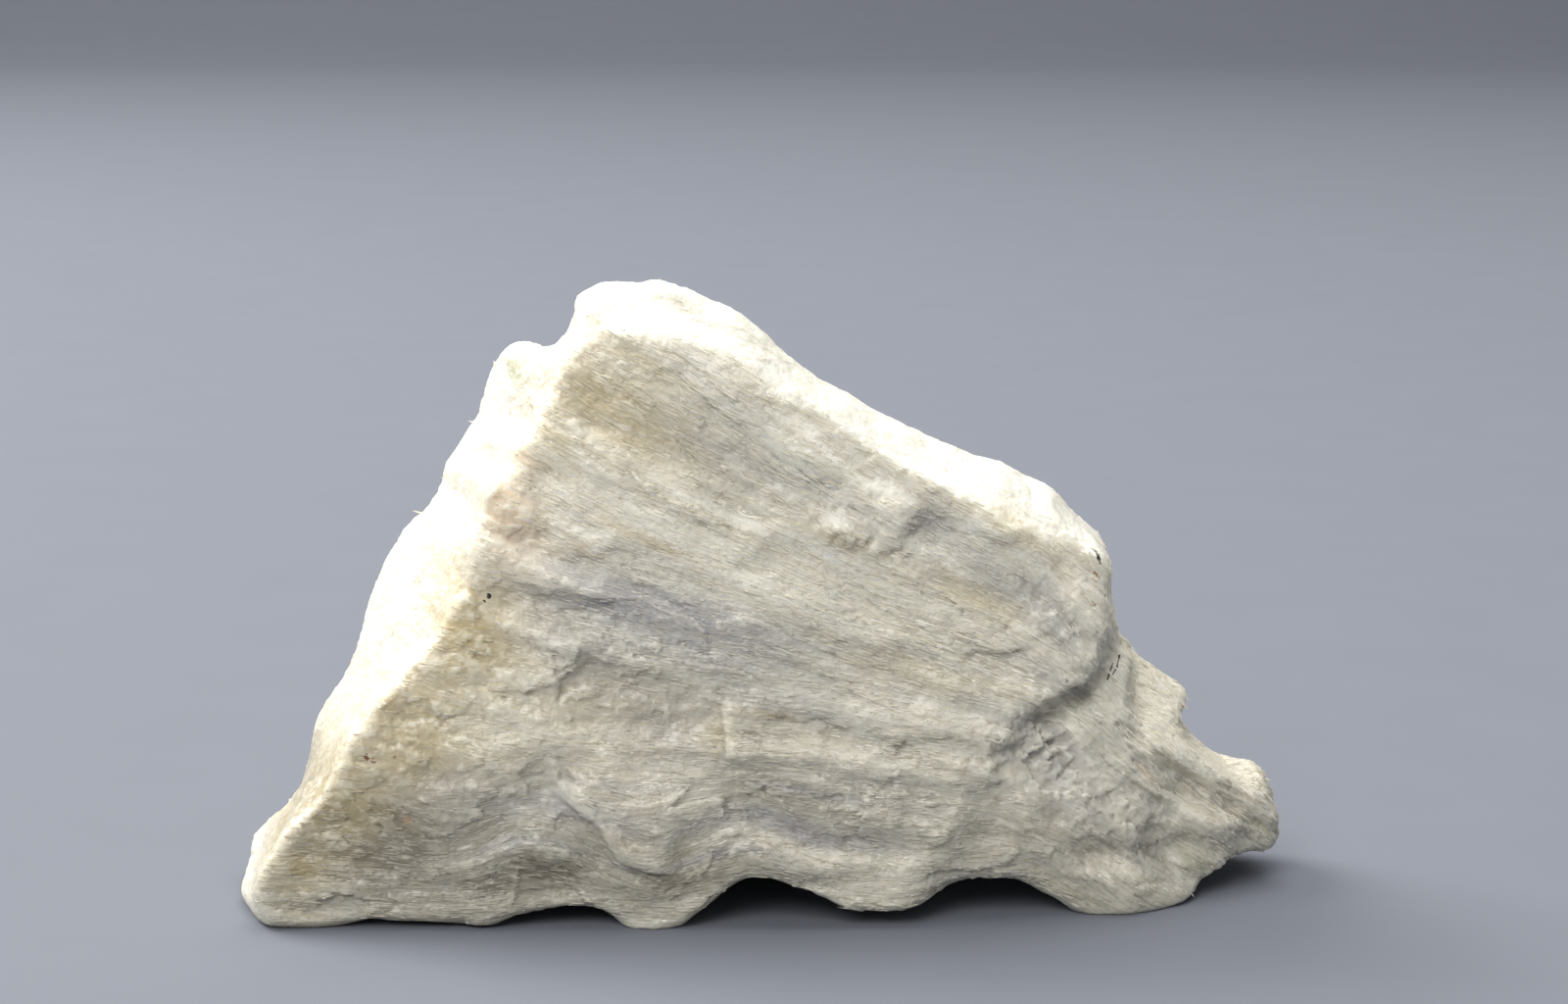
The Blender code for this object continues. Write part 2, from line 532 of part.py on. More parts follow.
def main():
    clear_scene()
    stone = modified(make_blank(), "REMESH", mode="VOXEL", voxel_size=BLANK_VOXEL)
    carve(stone.data)
    stone = modified(stone, "REMESH", mode="VOXEL", voxel_size=CARVE_VOXEL)
    add_relief(stone.data)
    stone = modified(stone, "REMESH", mode="VOXEL", voxel_size=CARVE_VOXEL)
    keep_largest(stone.data)
    press_feet(stone.data)
    full = len(stone.data.polygons) * 2
    stone = modified(stone, "DECIMATE", ratio=TRIANGLES / full)
    settle(stone.data)
    stone.name = STONE
    stone.data.name = STONE
    stone.data.materials.append(mineral())
    group = bpy.data.collections.new(COLLECTION)
    bpy.context.scene.collection.children.link(group)
    bpy.context.scene.collection.objects.unlink(stone)
    group.objects.link(stone)


main()
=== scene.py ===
"""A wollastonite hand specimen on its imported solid: fibrous stone, splinters, floor, lights and camera."""

import json
import math

import bmesh
import bpy
import numpy as np
from bpy.props import FloatProperty, FloatVectorProperty, IntProperty, PointerProperty
from mathutils import Matrix, Vector

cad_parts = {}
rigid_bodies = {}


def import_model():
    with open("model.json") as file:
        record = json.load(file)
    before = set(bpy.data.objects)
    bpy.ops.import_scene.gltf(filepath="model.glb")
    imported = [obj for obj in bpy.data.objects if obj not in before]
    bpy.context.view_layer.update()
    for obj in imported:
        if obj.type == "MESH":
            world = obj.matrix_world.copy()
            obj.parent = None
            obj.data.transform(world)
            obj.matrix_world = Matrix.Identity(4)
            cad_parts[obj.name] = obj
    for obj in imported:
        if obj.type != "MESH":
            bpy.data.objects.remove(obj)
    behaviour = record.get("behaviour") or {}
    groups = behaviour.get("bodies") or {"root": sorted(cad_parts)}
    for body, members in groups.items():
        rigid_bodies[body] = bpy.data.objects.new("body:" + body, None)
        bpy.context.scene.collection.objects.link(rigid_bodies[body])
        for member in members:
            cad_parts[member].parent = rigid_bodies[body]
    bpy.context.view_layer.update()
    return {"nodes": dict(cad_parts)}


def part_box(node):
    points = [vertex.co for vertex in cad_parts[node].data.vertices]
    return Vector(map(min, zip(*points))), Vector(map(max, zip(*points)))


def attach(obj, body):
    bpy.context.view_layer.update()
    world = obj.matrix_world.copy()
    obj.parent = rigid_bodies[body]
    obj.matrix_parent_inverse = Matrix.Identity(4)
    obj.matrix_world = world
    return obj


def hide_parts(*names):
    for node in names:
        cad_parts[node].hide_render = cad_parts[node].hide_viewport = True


bl_info = {
    "name": "Wollastonite specimen",
    "version": (1, 0, 0),
    "blender": (4, 5, 0),
    "location": "View3D > Sidebar > Specimen",
    "description": "Finishes a fibrous white mineral specimen and its stage",
    "category": "Mesh",
}

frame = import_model()

NODE = "wollastonite_mass"
STONE = "fibrous_stone"
MM = 0.001

# The fibres, in millimetres. They fall to the right, more steeply higher up: SLOPES holds how steeply at
# each of SLOPE_LEVELS, which are values of z + SLOPE_TILT * x.
FIBRE_START_X = -25.0  # a fibre is named by its height here
FIBRE_STEPS = 24
SLOPE_TILT = 0.2
SLOPE_LEVELS = [4.0, 12.0, 22.0, 30.0, 37.0, 48.0, 60.0]
SLOPES = [0.05, 0.09, 0.2, 0.35, 0.48, 0.58, 0.62]

# From here on the fibres turn down into the snout.
SNOUT_X = 22.0
SNOUT_TURN = 0.6
SNOUT_LENGTH = 11.0

# Low down the fibres fold into waves, which die out above and below FOLD_Z and to both sides.
FOLD_HEIGHT = 1.5
FOLD_LENGTH = 20.5
FOLD_CREST_X = -1.5
FOLD_Z = 8.5
FOLD_REACH = 5.0
FOLD_MIDDLE_X = -14.0
FOLD_HALF_RUN = 20.0
FOLD_EDGE = 6  # the higher, the more sharply they end

# Crisp broken ends of fibre sheets on the main face, in millimetres (x, z). The raised side is on the
# left of each line as it runs, and the step fades out over its reach.
SHEET_ENDS = [
    {"height": 0.45, "reach": 6.0, "line": [
        (-20.4, 13.4), (-17.6, 11.3), (-15.9, 10.1), (-14.9, 8.1), (-14.0, 6.6), (-11.4, 5.6), (-8.0, 5.3)]},
    {"height": 0.45, "reach": 5.0, "line": [
        (-27.0, 23.4), (-23.2, 23.1), (-19.9, 24.0), (-18.2, 25.4), (-17.3, 28.8)]},
    {"height": 0.45, "reach": 5.0, "line": [(-4.2, 22.0), (-3.9, 19.0), (-3.6, 16.0)]},
    {"height": -0.25, "reach": 3.0, "line": [(-22.6, 45.2), (-22.4, 41.5), (-22.2, 39.0), (-21.6, 37.0)]},
    {"height": -0.5, "reach": 5.0, "line": [(26.0, 26.6), (24.1, 26.4), (22.2, 26.1), (18.5, 26.2)]},
    {"height": -0.3, "reach": 3.0, "line": [(8.6, 18.4), (5.6, 20.0), (3.4, 19.7), (0.6, 20.6)]},
    {"height": 0.5, "reach": 2.2, "line": [
        (20.9, 12.6), (22.9, 13.6), (21.6, 14.9), (24.3, 15.9), (22.9, 17.4), (26.0, 18.0), (24.8, 19.7),
        (28.0, 19.8), (27.0, 21.5), (30.3, 21.4), (29.4, 23.0), (32.6, 23.4), (31.6, 25.0), (33.6, 26.6)]},
    {"height": 0.4, "reach": 2.0, "line": [
        (49.4, 8.6), (46.4, 10.0), (43.0, 12.6), (39.6, 15.4), (37.6, 17.4)]},
    {"height": -0.5, "reach": 3.0, "line": [(-20.3, 16.9), (-19.8, 15.4), (-19.9, 14.0)]},
]
SHEET_END_WIDTH = 0.4  # over which a step rises
SHEET_END_TIP = 0.15  # the share of a line at either end over which its step dies out
SHEET_END_FADE = 1.5  # how quickly a step sinks back behind its line

# Directions, and where a kind of face begins: how far the surface turns to a direction, and over which span
# of that turn the face fades in.
FRONT = (0.0, -1.0, 0.0)
BACK = (0.0, 1.0, 0.0)
LEFT = (-1.0, 0.0, 0.0)
UP = (0.0, 0.0, 1.0)
MAIN_FACE = (0.25, 0.4)
SIDE_FACE = (0.15, 0.35)
CREST_FACE = (0.3, 0.3)
SHOWN_FACE = (-0.35, 0.5)  # all that isn't turned to the back

# The calm faces, which have low relief, few streaks and no splinters: the left face and the crest.
CALM_LEFT_Y = 4.0  # the left face is calm in front of this
CALM_CREST_Z = 30.0  # and the crest above this
CALM_EDGE = 6.0
CALMED = 0.5  # how much of the relief is lost where it is calm

# How the fibres sway in and out of the main face, and the lengths of the sway along x and z.
RUN_SWAY = 0.12
RUN_SWAY_LENGTHS = (9.0, 14.0)

# Clefts and ridges, found by evening out the surface.
HOLLOW_PASSES = 14
HOLLOW_DEPTH = 0.5  # from ridge to cleft, in millimetres

# Stains in the mineral, colour by colour, each drawn out along the fibres, in millimetres: (x, z, half
# length, half width, strength). The rose spots are a painted glow, and the lavender spots in the hollow right
# of the slab's end are partly painted shade.
STAINS_AND_PAINTED_LIGHT = {
    "umber_and_cleft_shade": [
        (-40.0, 8.0, 14.0, 7.0, 0.95), (-24.0, 5.5, 12.0, 4.0, 0.85), (-7.0, 5.0, 9.0, 4.0, 0.75),
        (22.0, 9.0, 8.0, 4.0, 0.35), (-15.0, 50.5, 6.0, 4.0, 0.2), (35.0, 6.0, 6.0, 0.5, 0.8),
        (0.0, 41.5, 16.0, 1.0, 0.35), (9.0, 27.0, 7.0, 1.2, 0.35), (33.0, 1.5, 9.0, 2.5, 0.35),
        (-12.0, 22.4, 9.0, 5.0, 0.55), (5.0, 12.5, 10.0, 4.0, 0.65), (23.0, 32.0, 8.0, 5.0, 0.2),
    ],
    "lavender_and_hollow_shade": [
        (-12.0, 30.8, 12.0, 3.0, 0.95), (-5.0, 30.2, 9.0, 2.0, 0.8), (-8.0, 26.5, 14.0, 3.0, 0.5),
        (19.5, 35.0, 8.0, 2.4, 0.4), (-19.0, 27.5, 5.0, 2.2, 0.45), (-1.0, 21.8, 5.0, 1.3, 0.5),
        (6.0, 20.4, 4.0, 1.4, 0.5), (-30.5, 14.6, 3.0, 1.2, 0.7), (-18.0, 11.4, 8.0, 1.6, 0.85),
        (2.0, 10.2, 9.0, 1.4, 0.85), (-5.0, 7.4, 8.0, 0.5, 0.8), (7.0, 7.9, 8.0, 0.5, 0.8),
        (-23.0, 8.8, 6.0, 0.6, 0.8), (-14.0, 14.0, 6.0, 0.5, 0.6), (4.0, 13.2, 8.0, 0.5, 0.6),
        # The spots at x 28 to 30, here and on the next line, lie in the hollow right of the slab's end:
        # partly its grey tone, partly painted shade.
        (28.4, 28.5, 4.0, 5.0, 0.5), (28.0, 17.5, 6.0, 5.0, 0.5), (30.0, 13.0, 8.0, 7.0, 0.45),
        (29.0, 23.0, 4.5, 2.4, 0.45), (-2.5, 45.0, 8.0, 1.2, 0.4), (16.6, 38.8, 2.6, 1.2, 0.8),
        (40.0, 3.0, 5.0, 1.6, 0.4), (-12.0, 19.0, 8.0, 2.0, 0.3), (10.0, 14.0, 10.0, 2.0, 0.3),
    ],
    "olive": [
        (-15.0, 50.0, 7.5, 5.0, 0.7), (-20.3, 47.5, 2.2, 3.0, 0.6), (-13.0, 55.2, 4.5, 1.4, 0.5),
        (-28.4, 29.0, 5.0, 6.5, 0.9), (-19.0, 20.0, 9.0, 5.0, 0.3), (-34.5, 21.0, 5.0, 4.0, 0.85),
        (-45.5, 6.0, 4.0, 4.4, 0.8), (-40.4, 13.6, 4.0, 4.0, 0.75), (-33.5, 16.5, 6.0, 2.0, 0.6),
        (24.1, 38.4, 3.6, 1.4, 0.6), (20.5, 31.4, 4.0, 2.2, 0.45), (-10.4, 37.0, 3.4, 0.7, 0.7),
        (-4.8, 18.8, 1.5, 2.2, 0.5), (0.5, 20.4, 4.0, 0.8, 0.5), (14.0, 24.4, 7.0, 2.4, 0.3),
        (6.8, 37.4, 4.6, 1.4, 0.4), (-14.0, 8.6, 4.0, 1.0, 0.4), (48.5, 7.0, 2.4, 1.6, 0.6),
        (44.0, 10.8, 5.0, 1.0, 0.4),
    ],
    "moss": [
        (42.5, 4.0, 1.6, 1.5, 0.8), (-24.5, 52.5, 1.6, 1.4, 0.5), (16.0, 47.0, 1.0, 0.5, 0.8),
    ],
    # Painted glow: the peach light that passes through the thin left arris, laid on as stains.
    "painted_peach_glow": [
        (-24.4, 40.0, 3.4, 5.0, 0.9), (-23.4, 45.4, 1.6, 1.1, 1.0), (-19.5, 43.9, 4.0, 0.8, 0.5),
        (-13.4, 38.6, 5.0, 0.6, 0.4), (-17.2, 36.8, 1.6, 0.8, 0.5), (37.6, 13.4, 0.8, 0.8, 0.8),
    ],
    "cream_and_ridge_highlight": [
        (-17.0, 43.0, 8.0, 1.0, 0.7), (-6.0, 37.7, 10.0, 1.3, 0.9), (5.0, 32.2, 7.0, 1.3, 0.8),
        (-17.0, 41.0, 6.0, 0.8, 0.6), (-3.0, 34.6, 6.0, 0.7, 0.6), (12.5, 31.6, 5.0, 1.6, 0.5),
        (14.5, 36.8, 5.0, 1.2, 0.5), (9.0, 43.4, 9.0, 0.8, 0.4), (-24.0, 20.5, 6.0, 2.0, 0.4),
        (-9.0, 24.4, 4.0, 1.5, 0.4), (-11.0, 15.0, 5.0, 1.6, 0.4), (11.0, 6.6, 6.0, 1.4, 0.5),
        (40.0, 17.5, 5.0, 2.0, 0.5), (47.0, 8.5, 5.0, 2.4, 1.0), (37.0, 9.5, 5.0, 3.0, 0.8),
        (9.5, 4.6, 8.0, 2.2, 0.6), (21.0, 15.0, 4.0, 2.5, 0.4),
    ],
}
HIDDEN_STAINS_AND_PAINTED_LIGHT = 0.25  # how much of the stains is left on the back

# Where the break is compact and flaky and not fibrous: (x, z, half length, half width, strength).
COMPACT_SPOTS = [
    (-21.0, 24.0, 9.0, 6.0, 0.9), (-22.0, 15.0, 5.0, 2.6, 0.9), (-8.0, 22.0, 7.0, 4.0, 0.6),
    (29.0, 15.0, 9.0, 8.0, 2.1), (28.5, 30.0, 5.0, 6.0, 0.8), (-34.0, 19.0, 8.0, 6.0, 1.0),
    (-18.0, 51.0, 5.0, 4.0, 0.5), (13.0, 36.0, 6.0, 2.6, 0.6), (-27.5, 31.0, 5.0, 8.0, 1.0),
    (-25.0, 40.0, 4.0, 5.0, 0.9), (-41.0, 12.0, 5.0, 4.0, 0.8),
]

# Specks of dark and rusty minerals on the main face, in millimetres: (x, z, radius, colour).
SOOT = (0.05, 0.035, 0.028, 1.0)
RUST = (0.24, 0.09, 0.04, 1.0)
TAWNY = (0.46, 0.33, 0.21, 1.0)
SPECKS = [
    (-26.4, 32.2, 0.25, SOOT), (-26.9, 31.7, 0.14, SOOT), (-30.6, 36.2, 0.16, SOOT),
    (-41.9, 15.1, 0.34, RUST), (-38.2, 16.8, 0.26, RUST), (-37.6, 16.5, 0.24, RUST),
    (-35.6, 16.9, 0.20, RUST), (-34.4, 10.7, 0.45, TAWNY), (32.1, 33.3, 0.40, TAWNY),
    (32.0, 30.8, 0.32, TAWNY),
]

# Thin open cracks on the main face, painted in as dark lines of shade, in millimetres: (half width, points
# (x, z)).
CRACKS = [
    (0.13, [(31.7, 36.1), (32.3, 35.5), (32.6, 34.5)]),
    (0.07, [(29.1, 38.4), (29.8, 37.8), (30.4, 37.3)]),
    (0.08, [(35.0, 24.5), (34.7, 23.4), (34.3, 22.8)]),
    (0.08, [(34.3, 23.8), (33.8, 22.4)]),
]
# The painted shade inside the cracks.
CRACK_PAINTED_SHADE = (0.045, 0.04, 0.032, 1.0)

# Blades of fibres, large to small: (length, width, thickness) in millimetres, a number that sets one
# layer of blades apart from another, and how far their tops tilt. Flakes and crumbs lie where the break
# is compact.
SHEETS = ((10.0, 4.4, 6.0), 3.0, 1.2)
BUNDLES = ((4.6, 1.9, 2.8), 11.0, 1.2)
FIBRES = ((2.2, 0.6, 1.1), 23.0, 1.0)
FLAKES = ((3.2, 2.4, 2.6), 31.0, 1.4)
CRUMBS = ((1.2, 0.9, 1.0), 41.0, 1.2)
CRUMB_SHARE = 0.7  # the height of the crumbs, in heights of the flakes
FALLING = 0.25  # the share of the blades whose tops fall along the fibres; the others rise
LAYERS_APART = (1.0, 2.7, 1.3)  # which way one layer of blades is shifted from another
RAGGED = (1.9, 1.0, 0.8)  # how far the blades' edges wander, in blades
RAGGED_SCALE = 0.9
RAGGED_ROUGHNESS = 0.6
FIBRES_LOST = 0.7  # the share of the fibrous relief that is missing where the break is compact
TURN_SIZE = (9.0, 2.6, 5.0)  # the size of the bundles that turn together
FOOT_HEIGHTS = (0.2, 2.5)  # under the first height there is no relief, over the second all of it

# Unevenness that has no direction: the scale of its noise, whose waves are about 1 / scale metres long.
PATCH_SCALE = 130.0  # small flaky patches between the fibres
PATCH_SHARE = 0.7
PATCH_RANGE = (0.50, 0.65)  # the part of the noise over which a patch fades in
PORE_SCALE = 1400.0
GRAIN_SCALE = 1600.0
SPECK_EDGE_SCALE = 2600.0
SPECK_RAGGEDNESS = 2.6
SPECK_EDGE = (1.1, 0.8)  # from where to where a speck fades in, in radii

# Streaks of colour along the fibres, sized like the blades.
FINE_STREAKS = ((6.0, 0.45, 1.4), 17.3)
BROAD_STREAKS = (28.0, 1.6, 5.0)
STREAK_RANGE = (0.28, 0.72)  # the part of the noise that is spread over 0 to 1

# How the colours are mixed. Each mix starts at its first number, and then adds so much of each thing.
DULL_BREAK = (0.0, 0.25, 0.75)  # the sheet's own tone, broad streaks
DULL_FIBRES = (-0.20, 0.9, 0.20, 0.10, 0.22)  # the dull break, the bundle's tone, the fibre's, its streaks
STAINED_FIBRES = (0.52, 0.36, 0.20, 0.34)  # the bundle's tone, the fibre's, its streaks
DULL_SPLINTERS = (0.4, 0.4, -0.8)  # the splinter's own tone, how calm the stone is
STAINED_SPLINTERS = (0.4, 0.5)  # grains
SHADES = (0.86, 0.16, 0.14)  # grains, streaks
CALM_DULL = 0.9  # how much of the dullness is lost where the stone is calm

# How strongly ridges get a painted highlight and clefts a painted shade: where in the hollows that begins,
# where it is full, and the share of the other colour at both.
PAINTED_RIDGE_HIGHLIGHT = (0.48, 0.12, 0.0, 0.6)
PAINTED_CLEFT_SHADE = (0.58, 1.0, 0.0, 0.3)

# The splinters: cross-sections along each shape of unit size, as (place, half width, height, sideways
# shift), the upper corners of a cross-section, as shares of the half width and the height, and how high
# its base and the two tips lie.
SPLINTER_OUTLINES = [
    [(-0.30, 0.36, 0.30, -0.05), (0.25, 0.50, 0.42, 0.05)],
    [(-0.38, 0.30, 0.38, 0.08), (0.10, 0.46, 0.34, -0.06)],
    [(-0.20, 0.50, 0.26, 0.0), (0.36, 0.28, 0.50, 0.10)],
]
SPLINTER_CORNERS = [(0.7, 1.0), (-0.5, 0.9)]
SPLINTER_BASE = -0.3
SPLINTER_TIPS = (-0.2, -0.1)

# How the splinters differ from each other. Each seed draws one kind of random numbers.
SPLINTER_LEAN = (0.06, 0.02, 0.10)  # how far a splinter is turned at most about its own axes, in radians
SPLINTER_SPREAD = ((0.35, 0.5, 0.5), (1.0, 1.6, 1.6))  # least and most length, width and thickness
LONG_FROM = 0.6  # this share of the splinters isn't stretched, the others more and more
LONGEST = 2.6  # the longest are stretched by this
SHORTENED = 0.75  # the share of their length that is missing where the surface lies across the fibres
LEAN_SEED, LENGTH_SEED, SPREAD_SEED, TONE_SEED = 7, 13, 19, 29

# Where the splinters lie.
SPLINTER_REGIONS = ("front_high", "front_low", "back", "ends")
REGION_HEIGHT = 26.0  # the front's two regions meet on a line that falls to the right
REGION_FALL = 0.1
SPLINTER_FOOT = 0.8  # under this height lie no splinters
SPLINTERS_LOST = 0.8  # the share that is missing where the break is compact
BACK_TURN = -0.5  # none on the back where its normal's x is less than this
ENDS_TURN = -0.3  # and none on the ends
ENDS_BELOW = -0.6  # none on the ends where the normal's z is less than this
FEWEST_FACES = 1000  # a region with fewer faces than this has gone wrong

# What the light does in the mineral: the share of it that passes under the surface, and how far it
# strays there in each colour, in shares of GLOW_DEPTH millimetres.
MINERAL_IOR = 1.62
STONE_GLOW = 0.4
GLOW_RADIUS = (1.0, 0.86, 0.62)
GLOW_DEPTH = 2.4
STONE_ROUGHNESS = (0.30, 0.52)  # least and most
SPLINTER_ROUGHNESS = (0.26, 0.50)

# The finest roughness, in millimetres of height.
FIBRE_BUMP = 0.07
STREAK_BUMP = 0.08
GRAIN_BUMP = 0.14
UNEVEN = (0.4, 1.2, -0.6)  # how rough fibres are: a start, then so much of the bundle's tone and of calm

# The stone's colour gets darker from this height down, a painted shade, and keeps this share of its
# brightness at the table.
PAINTED_SHADE_BELOW = 34.0
PAINTED_SHADE_KEEPS = 0.75

# Where the camera looks, and the width of its sensor, in millimetres.
CAMERA_TARGET = (1.9, 0.0, 38.7)
SENSOR_WIDTH = 36.0

# The lights, in metres: place, width and colour.
WINDOW = ((-1.00, 0.60, 1.10), 0.9, (1.0, 0.985, 0.96))
OVERHEAD = ((0.15, 0.40, 1.50), 1.2, (1.0, 0.99, 0.975))
CARD = ((-0.40, -1.0, 1.0), 0.8, (1.0, 0.985, 0.96))
SKY_COLOUR = (0.96, 0.97, 1.0, 1.0)

# The floor, in metres: it is bent up into a backdrop that stands at FLOOR_BACK.
FLOOR_HALF_WIDTH = 6.0
FLOOR_BACK = 2.2
FLOOR_RISE = 2.5
FLOOR_BEND = 0.8
FLOOR_BEND_STEPS = 12
FLOOR_MOTTLE = 60.0  # the scale of its faint unevenness
FLOOR_DARKEST = 0.94  # as a share of its colour
FLOOR_ROUGHNESS = 0.85

# The inputs of the two Geometry Nodes groups that are plain numbers.
RELIEF_NUMBERS = (
    "Sheet height", "Bundle height", "Fibre height", "Flake height", "Pore depth", "Bundle turn")
SPLINTER_NUMBERS = ("Density", "Length", "Width", "Thickness")

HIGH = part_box(NODE)[1]


def length_setting(name, description, millimetres):
    """A length that a user can change."""
    return FloatProperty(name=name, description=description, default=millimetres * MM, unit="LENGTH")


def colour_setting(name, description, colour):
    """A colour that a user can change."""
    return FloatVectorProperty(
        name=name, description=description, subtype="COLOR", size=4, default=(*colour, 1.0))


class StoneSettings(bpy.types.PropertyGroup):
    """Sizes and colours of the stone's surface."""

    voxel: length_setting("Voxel", "Grid size of the fine mesh", 0.23)
    soften: IntProperty(name="Soften", description="Passes that take away the solid's facets", default=10)
    faces: IntProperty(name="Triangles", description="Triangles of the finished stone", default=196000)
    sheet_height: length_setting("Sheet height", "Steps between the broad fibre sheets", 0.2)
    bundle_height: length_setting("Bundle height", "Steps between the fibre bundles", 0.12)
    fibre_height: length_setting("Fibre height", "Steps between the single fibres", 0.065)
    flake_height: length_setting("Flake height", "Steps between the flakes of the compact parts", 0.28)
    pore_depth: length_setting("Pore depth", "Depth of the finest roughness", 0.25)
    bundle_turn: FloatProperty(
        name="Bundle turn", description="How differently neighbouring bundles of fibres run", default=0.5)
    white: colour_setting("White", "The fresh fibres", (0.92, 0.89, 0.78))
    ivory: colour_setting("Ivory", "The older, duller fibres", (0.72, 0.66, 0.50))
    # Cream also gives the ridges their painted highlight.
    cream_and_ridge_highlight: colour_setting("Cream", "Bright fresh streaks", (0.97, 0.92, 0.76))
    # Lavender also darkens the hollow right of the slab's end as painted shade.
    lavender_and_hollow_shade: colour_setting("Lavender", "Glassy grey bundles", (0.42, 0.405, 0.41))
    olive: colour_setting("Olive", "Yellow-green stains", (0.66, 0.55, 0.31))
    moss: colour_setting("Moss", "Small green stains", (0.30, 0.32, 0.14))
    # Rose is a painted glow: the peach light that passes through the thin edges.
    painted_peach_glow: colour_setting("Rose", "Peach-coloured stains", (0.82, 0.65, 0.43))
    # Umber also gives the clefts their painted shade.
    umber_and_cleft_shade: colour_setting("Umber", "Dull brownish parts", (0.30, 0.265, 0.195))


class SplinterSettings(bpy.types.PropertyGroup):
    """Sizes of the loose-looking splinters that lie in the break."""

    count: IntProperty(name="Count", description="Most splinters in one piece", default=3800)
    length: length_setting("Length", "Length of a middling splinter", 1.25)
    width: length_setting("Width", "Width of a middling splinter", 0.2)
    thickness: length_setting("Thickness", "Thickness of a middling splinter", 0.14)
    seed: IntProperty(name="Seed", description="Another number lays them otherwise", default=4)


class StageSettings(bpy.types.PropertyGroup):
    """Floor, light and camera."""

    floor: colour_setting("Floor", "Colour of the floor", (0.15, 0.163, 0.193))
    key: FloatProperty(
        name="Key light", description="Power of the light behind the left side", default=34.0, unit="POWER")
    overhead: FloatProperty(
        name="Overhead light", description="Power of the wide light above", default=21.0, unit="POWER")
    fill: FloatProperty(
        name="Fill light", description="Power of the light in front", default=13.0, unit="POWER")
    sky: FloatProperty(name="Sky", description="Strength of the even light from all round", default=0.3)
    elevation: FloatProperty(
        name="Elevation", description="How far the camera looks down", default=math.radians(11.0),
        subtype="ANGLE")
    distance: FloatProperty(
        name="Distance", description="From the camera to its target", default=0.326, unit="LENGTH")
    lens: FloatProperty(name="Lens", description="Focal length in millimetres", default=75.0)


# Meshes


def smoothstep(value):
    """0 below 0 and 1 above 1, with a soft rise between them."""
    value = np.clip(value, 0.0, 1.0)
    return value * value * (3.0 - 2.0 * value)


def facing(normals, direction, start, span):
    """How far the surface counts as turned to a direction: 0 up to start, and 1 from start + span on."""
    return smoothstep((normals @ np.array(direction) - start) / span)


def read_vectors(data, name, count):
    """The vectors that a mesh holds under a name, one to a row."""
    flat = np.empty(count * 3, np.float32)
    data.foreach_get(name, flat)
    return flat.reshape(-1, 3).astype(float)


def read_surface(mesh):
    """The place of each vertex, in metres, and its normal."""
    count = len(mesh.vertices)
    return read_vectors(mesh.vertices, "co", count), read_vectors(mesh.vertex_normals, "vector", count)


def store(mesh, name, values):
    """Keeps a value or a vector at each vertex of the mesh."""
    kind, key = ("FLOAT", "value") if values.ndim == 1 else ("FLOAT_VECTOR", "vector")
    if name in mesh.attributes:
        mesh.attributes.remove(mesh.attributes[name])
    attribute = mesh.attributes.new(name, kind, "POINT")
    attribute.data.foreach_set(key, values.astype(np.float32).ravel())


def read_values(mesh, name):
    """The numbers that are stored under a name at the mesh's vertices."""
    values = np.empty(len(mesh.vertices), np.float32)
    mesh.attributes[name].data.foreach_get("value", values)
    return values


def new_object(name, data):
    """An object in the scene, at the origin."""
    obj = bpy.data.objects.new(name, data)
    bpy.context.scene.collection.objects.link(obj)
    return obj


def baked(obj, name):
    """A plain mesh object of obj as its modifiers show it; obj itself is removed."""
    bpy.context.view_layer.update()
    graph = bpy.context.evaluated_depsgraph_get()
    mesh = bpy.data.meshes.new_from_object(obj.evaluated_get(graph))
    bpy.data.objects.remove(obj)
    mesh.name = name
    return new_object(name, mesh)


def merged_copy(source, name):
    """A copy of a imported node's mesh, with its loose triangles joined up."""
    shape = bmesh.new()
    shape.from_mesh(source.data)
    bmesh.ops.remove_doubles(shape, verts=shape.verts, dist=0.001 * MM)
    mesh = bpy.data.meshes.new(name)
    shape.to_mesh(mesh)
    shape.free()
    return new_object(name, mesh)


# The fibres


def fibre_slope(x, z):
    """How steeply the fibres fall to the right at each (x, z), in millimetres."""
    slope = np.interp(z + SLOPE_TILT * x, SLOPE_LEVELS, SLOPES)
    slope = slope + SNOUT_TURN * smoothstep((x - SNOUT_X) / SNOUT_LENGTH)
    wave = 2 * np.pi / FOLD_LENGTH
    fold = FOLD_HEIGHT * wave * np.sin(wave * (x - FOLD_CREST_X))
    fold = fold * np.exp(-(((z - FOLD_Z) / FOLD_REACH) ** 2))
    return slope + fold * np.exp(-(((x - FOLD_MIDDLE_X) / FOLD_HALF_RUN) ** FOLD_EDGE))


def fibre_level(x, z):
    """The height at which the fibre through each point crosses FIBRE_START_X."""
    step = (FIBRE_START_X - x) / FIBRE_STEPS
    for _ in range(FIBRE_STEPS):
        z = z - fibre_slope(x + 0.5 * step, z) * step
        x = x + step
    return z


def from_line(x, z, line):
    """Distance to a line of points, positive on its left, and how far along it that is, 0 to 1."""
    points = np.array(line, float)
    starts, spans = points[:-1], points[1:] - points[:-1]
    lengths = np.linalg.norm(spans, axis=1)
    before = np.cumsum(lengths) - lengths
    best = np.full(x.shape, np.inf)
    side, along = np.zeros(x.shape), np.zeros(x.shape)
    for start, span, length, passed in zip(starts, spans, lengths, before):
        dx, dz = x - start[0], z - start[1]
        share = np.clip((dx * span[0] + dz * span[1]) / length**2, 0.0, 1.0)
        away = np.hypot(dx - share * span[0], dz - share * span[1])
        nearer = away < best
        best = np.where(nearer, away, best)
        side = np.where(nearer, np.sign(span[0] * dz - span[1] * dx), side)
        along = np.where(nearer, (passed + share * length) / lengths.sum(), along)
    return best * side, along


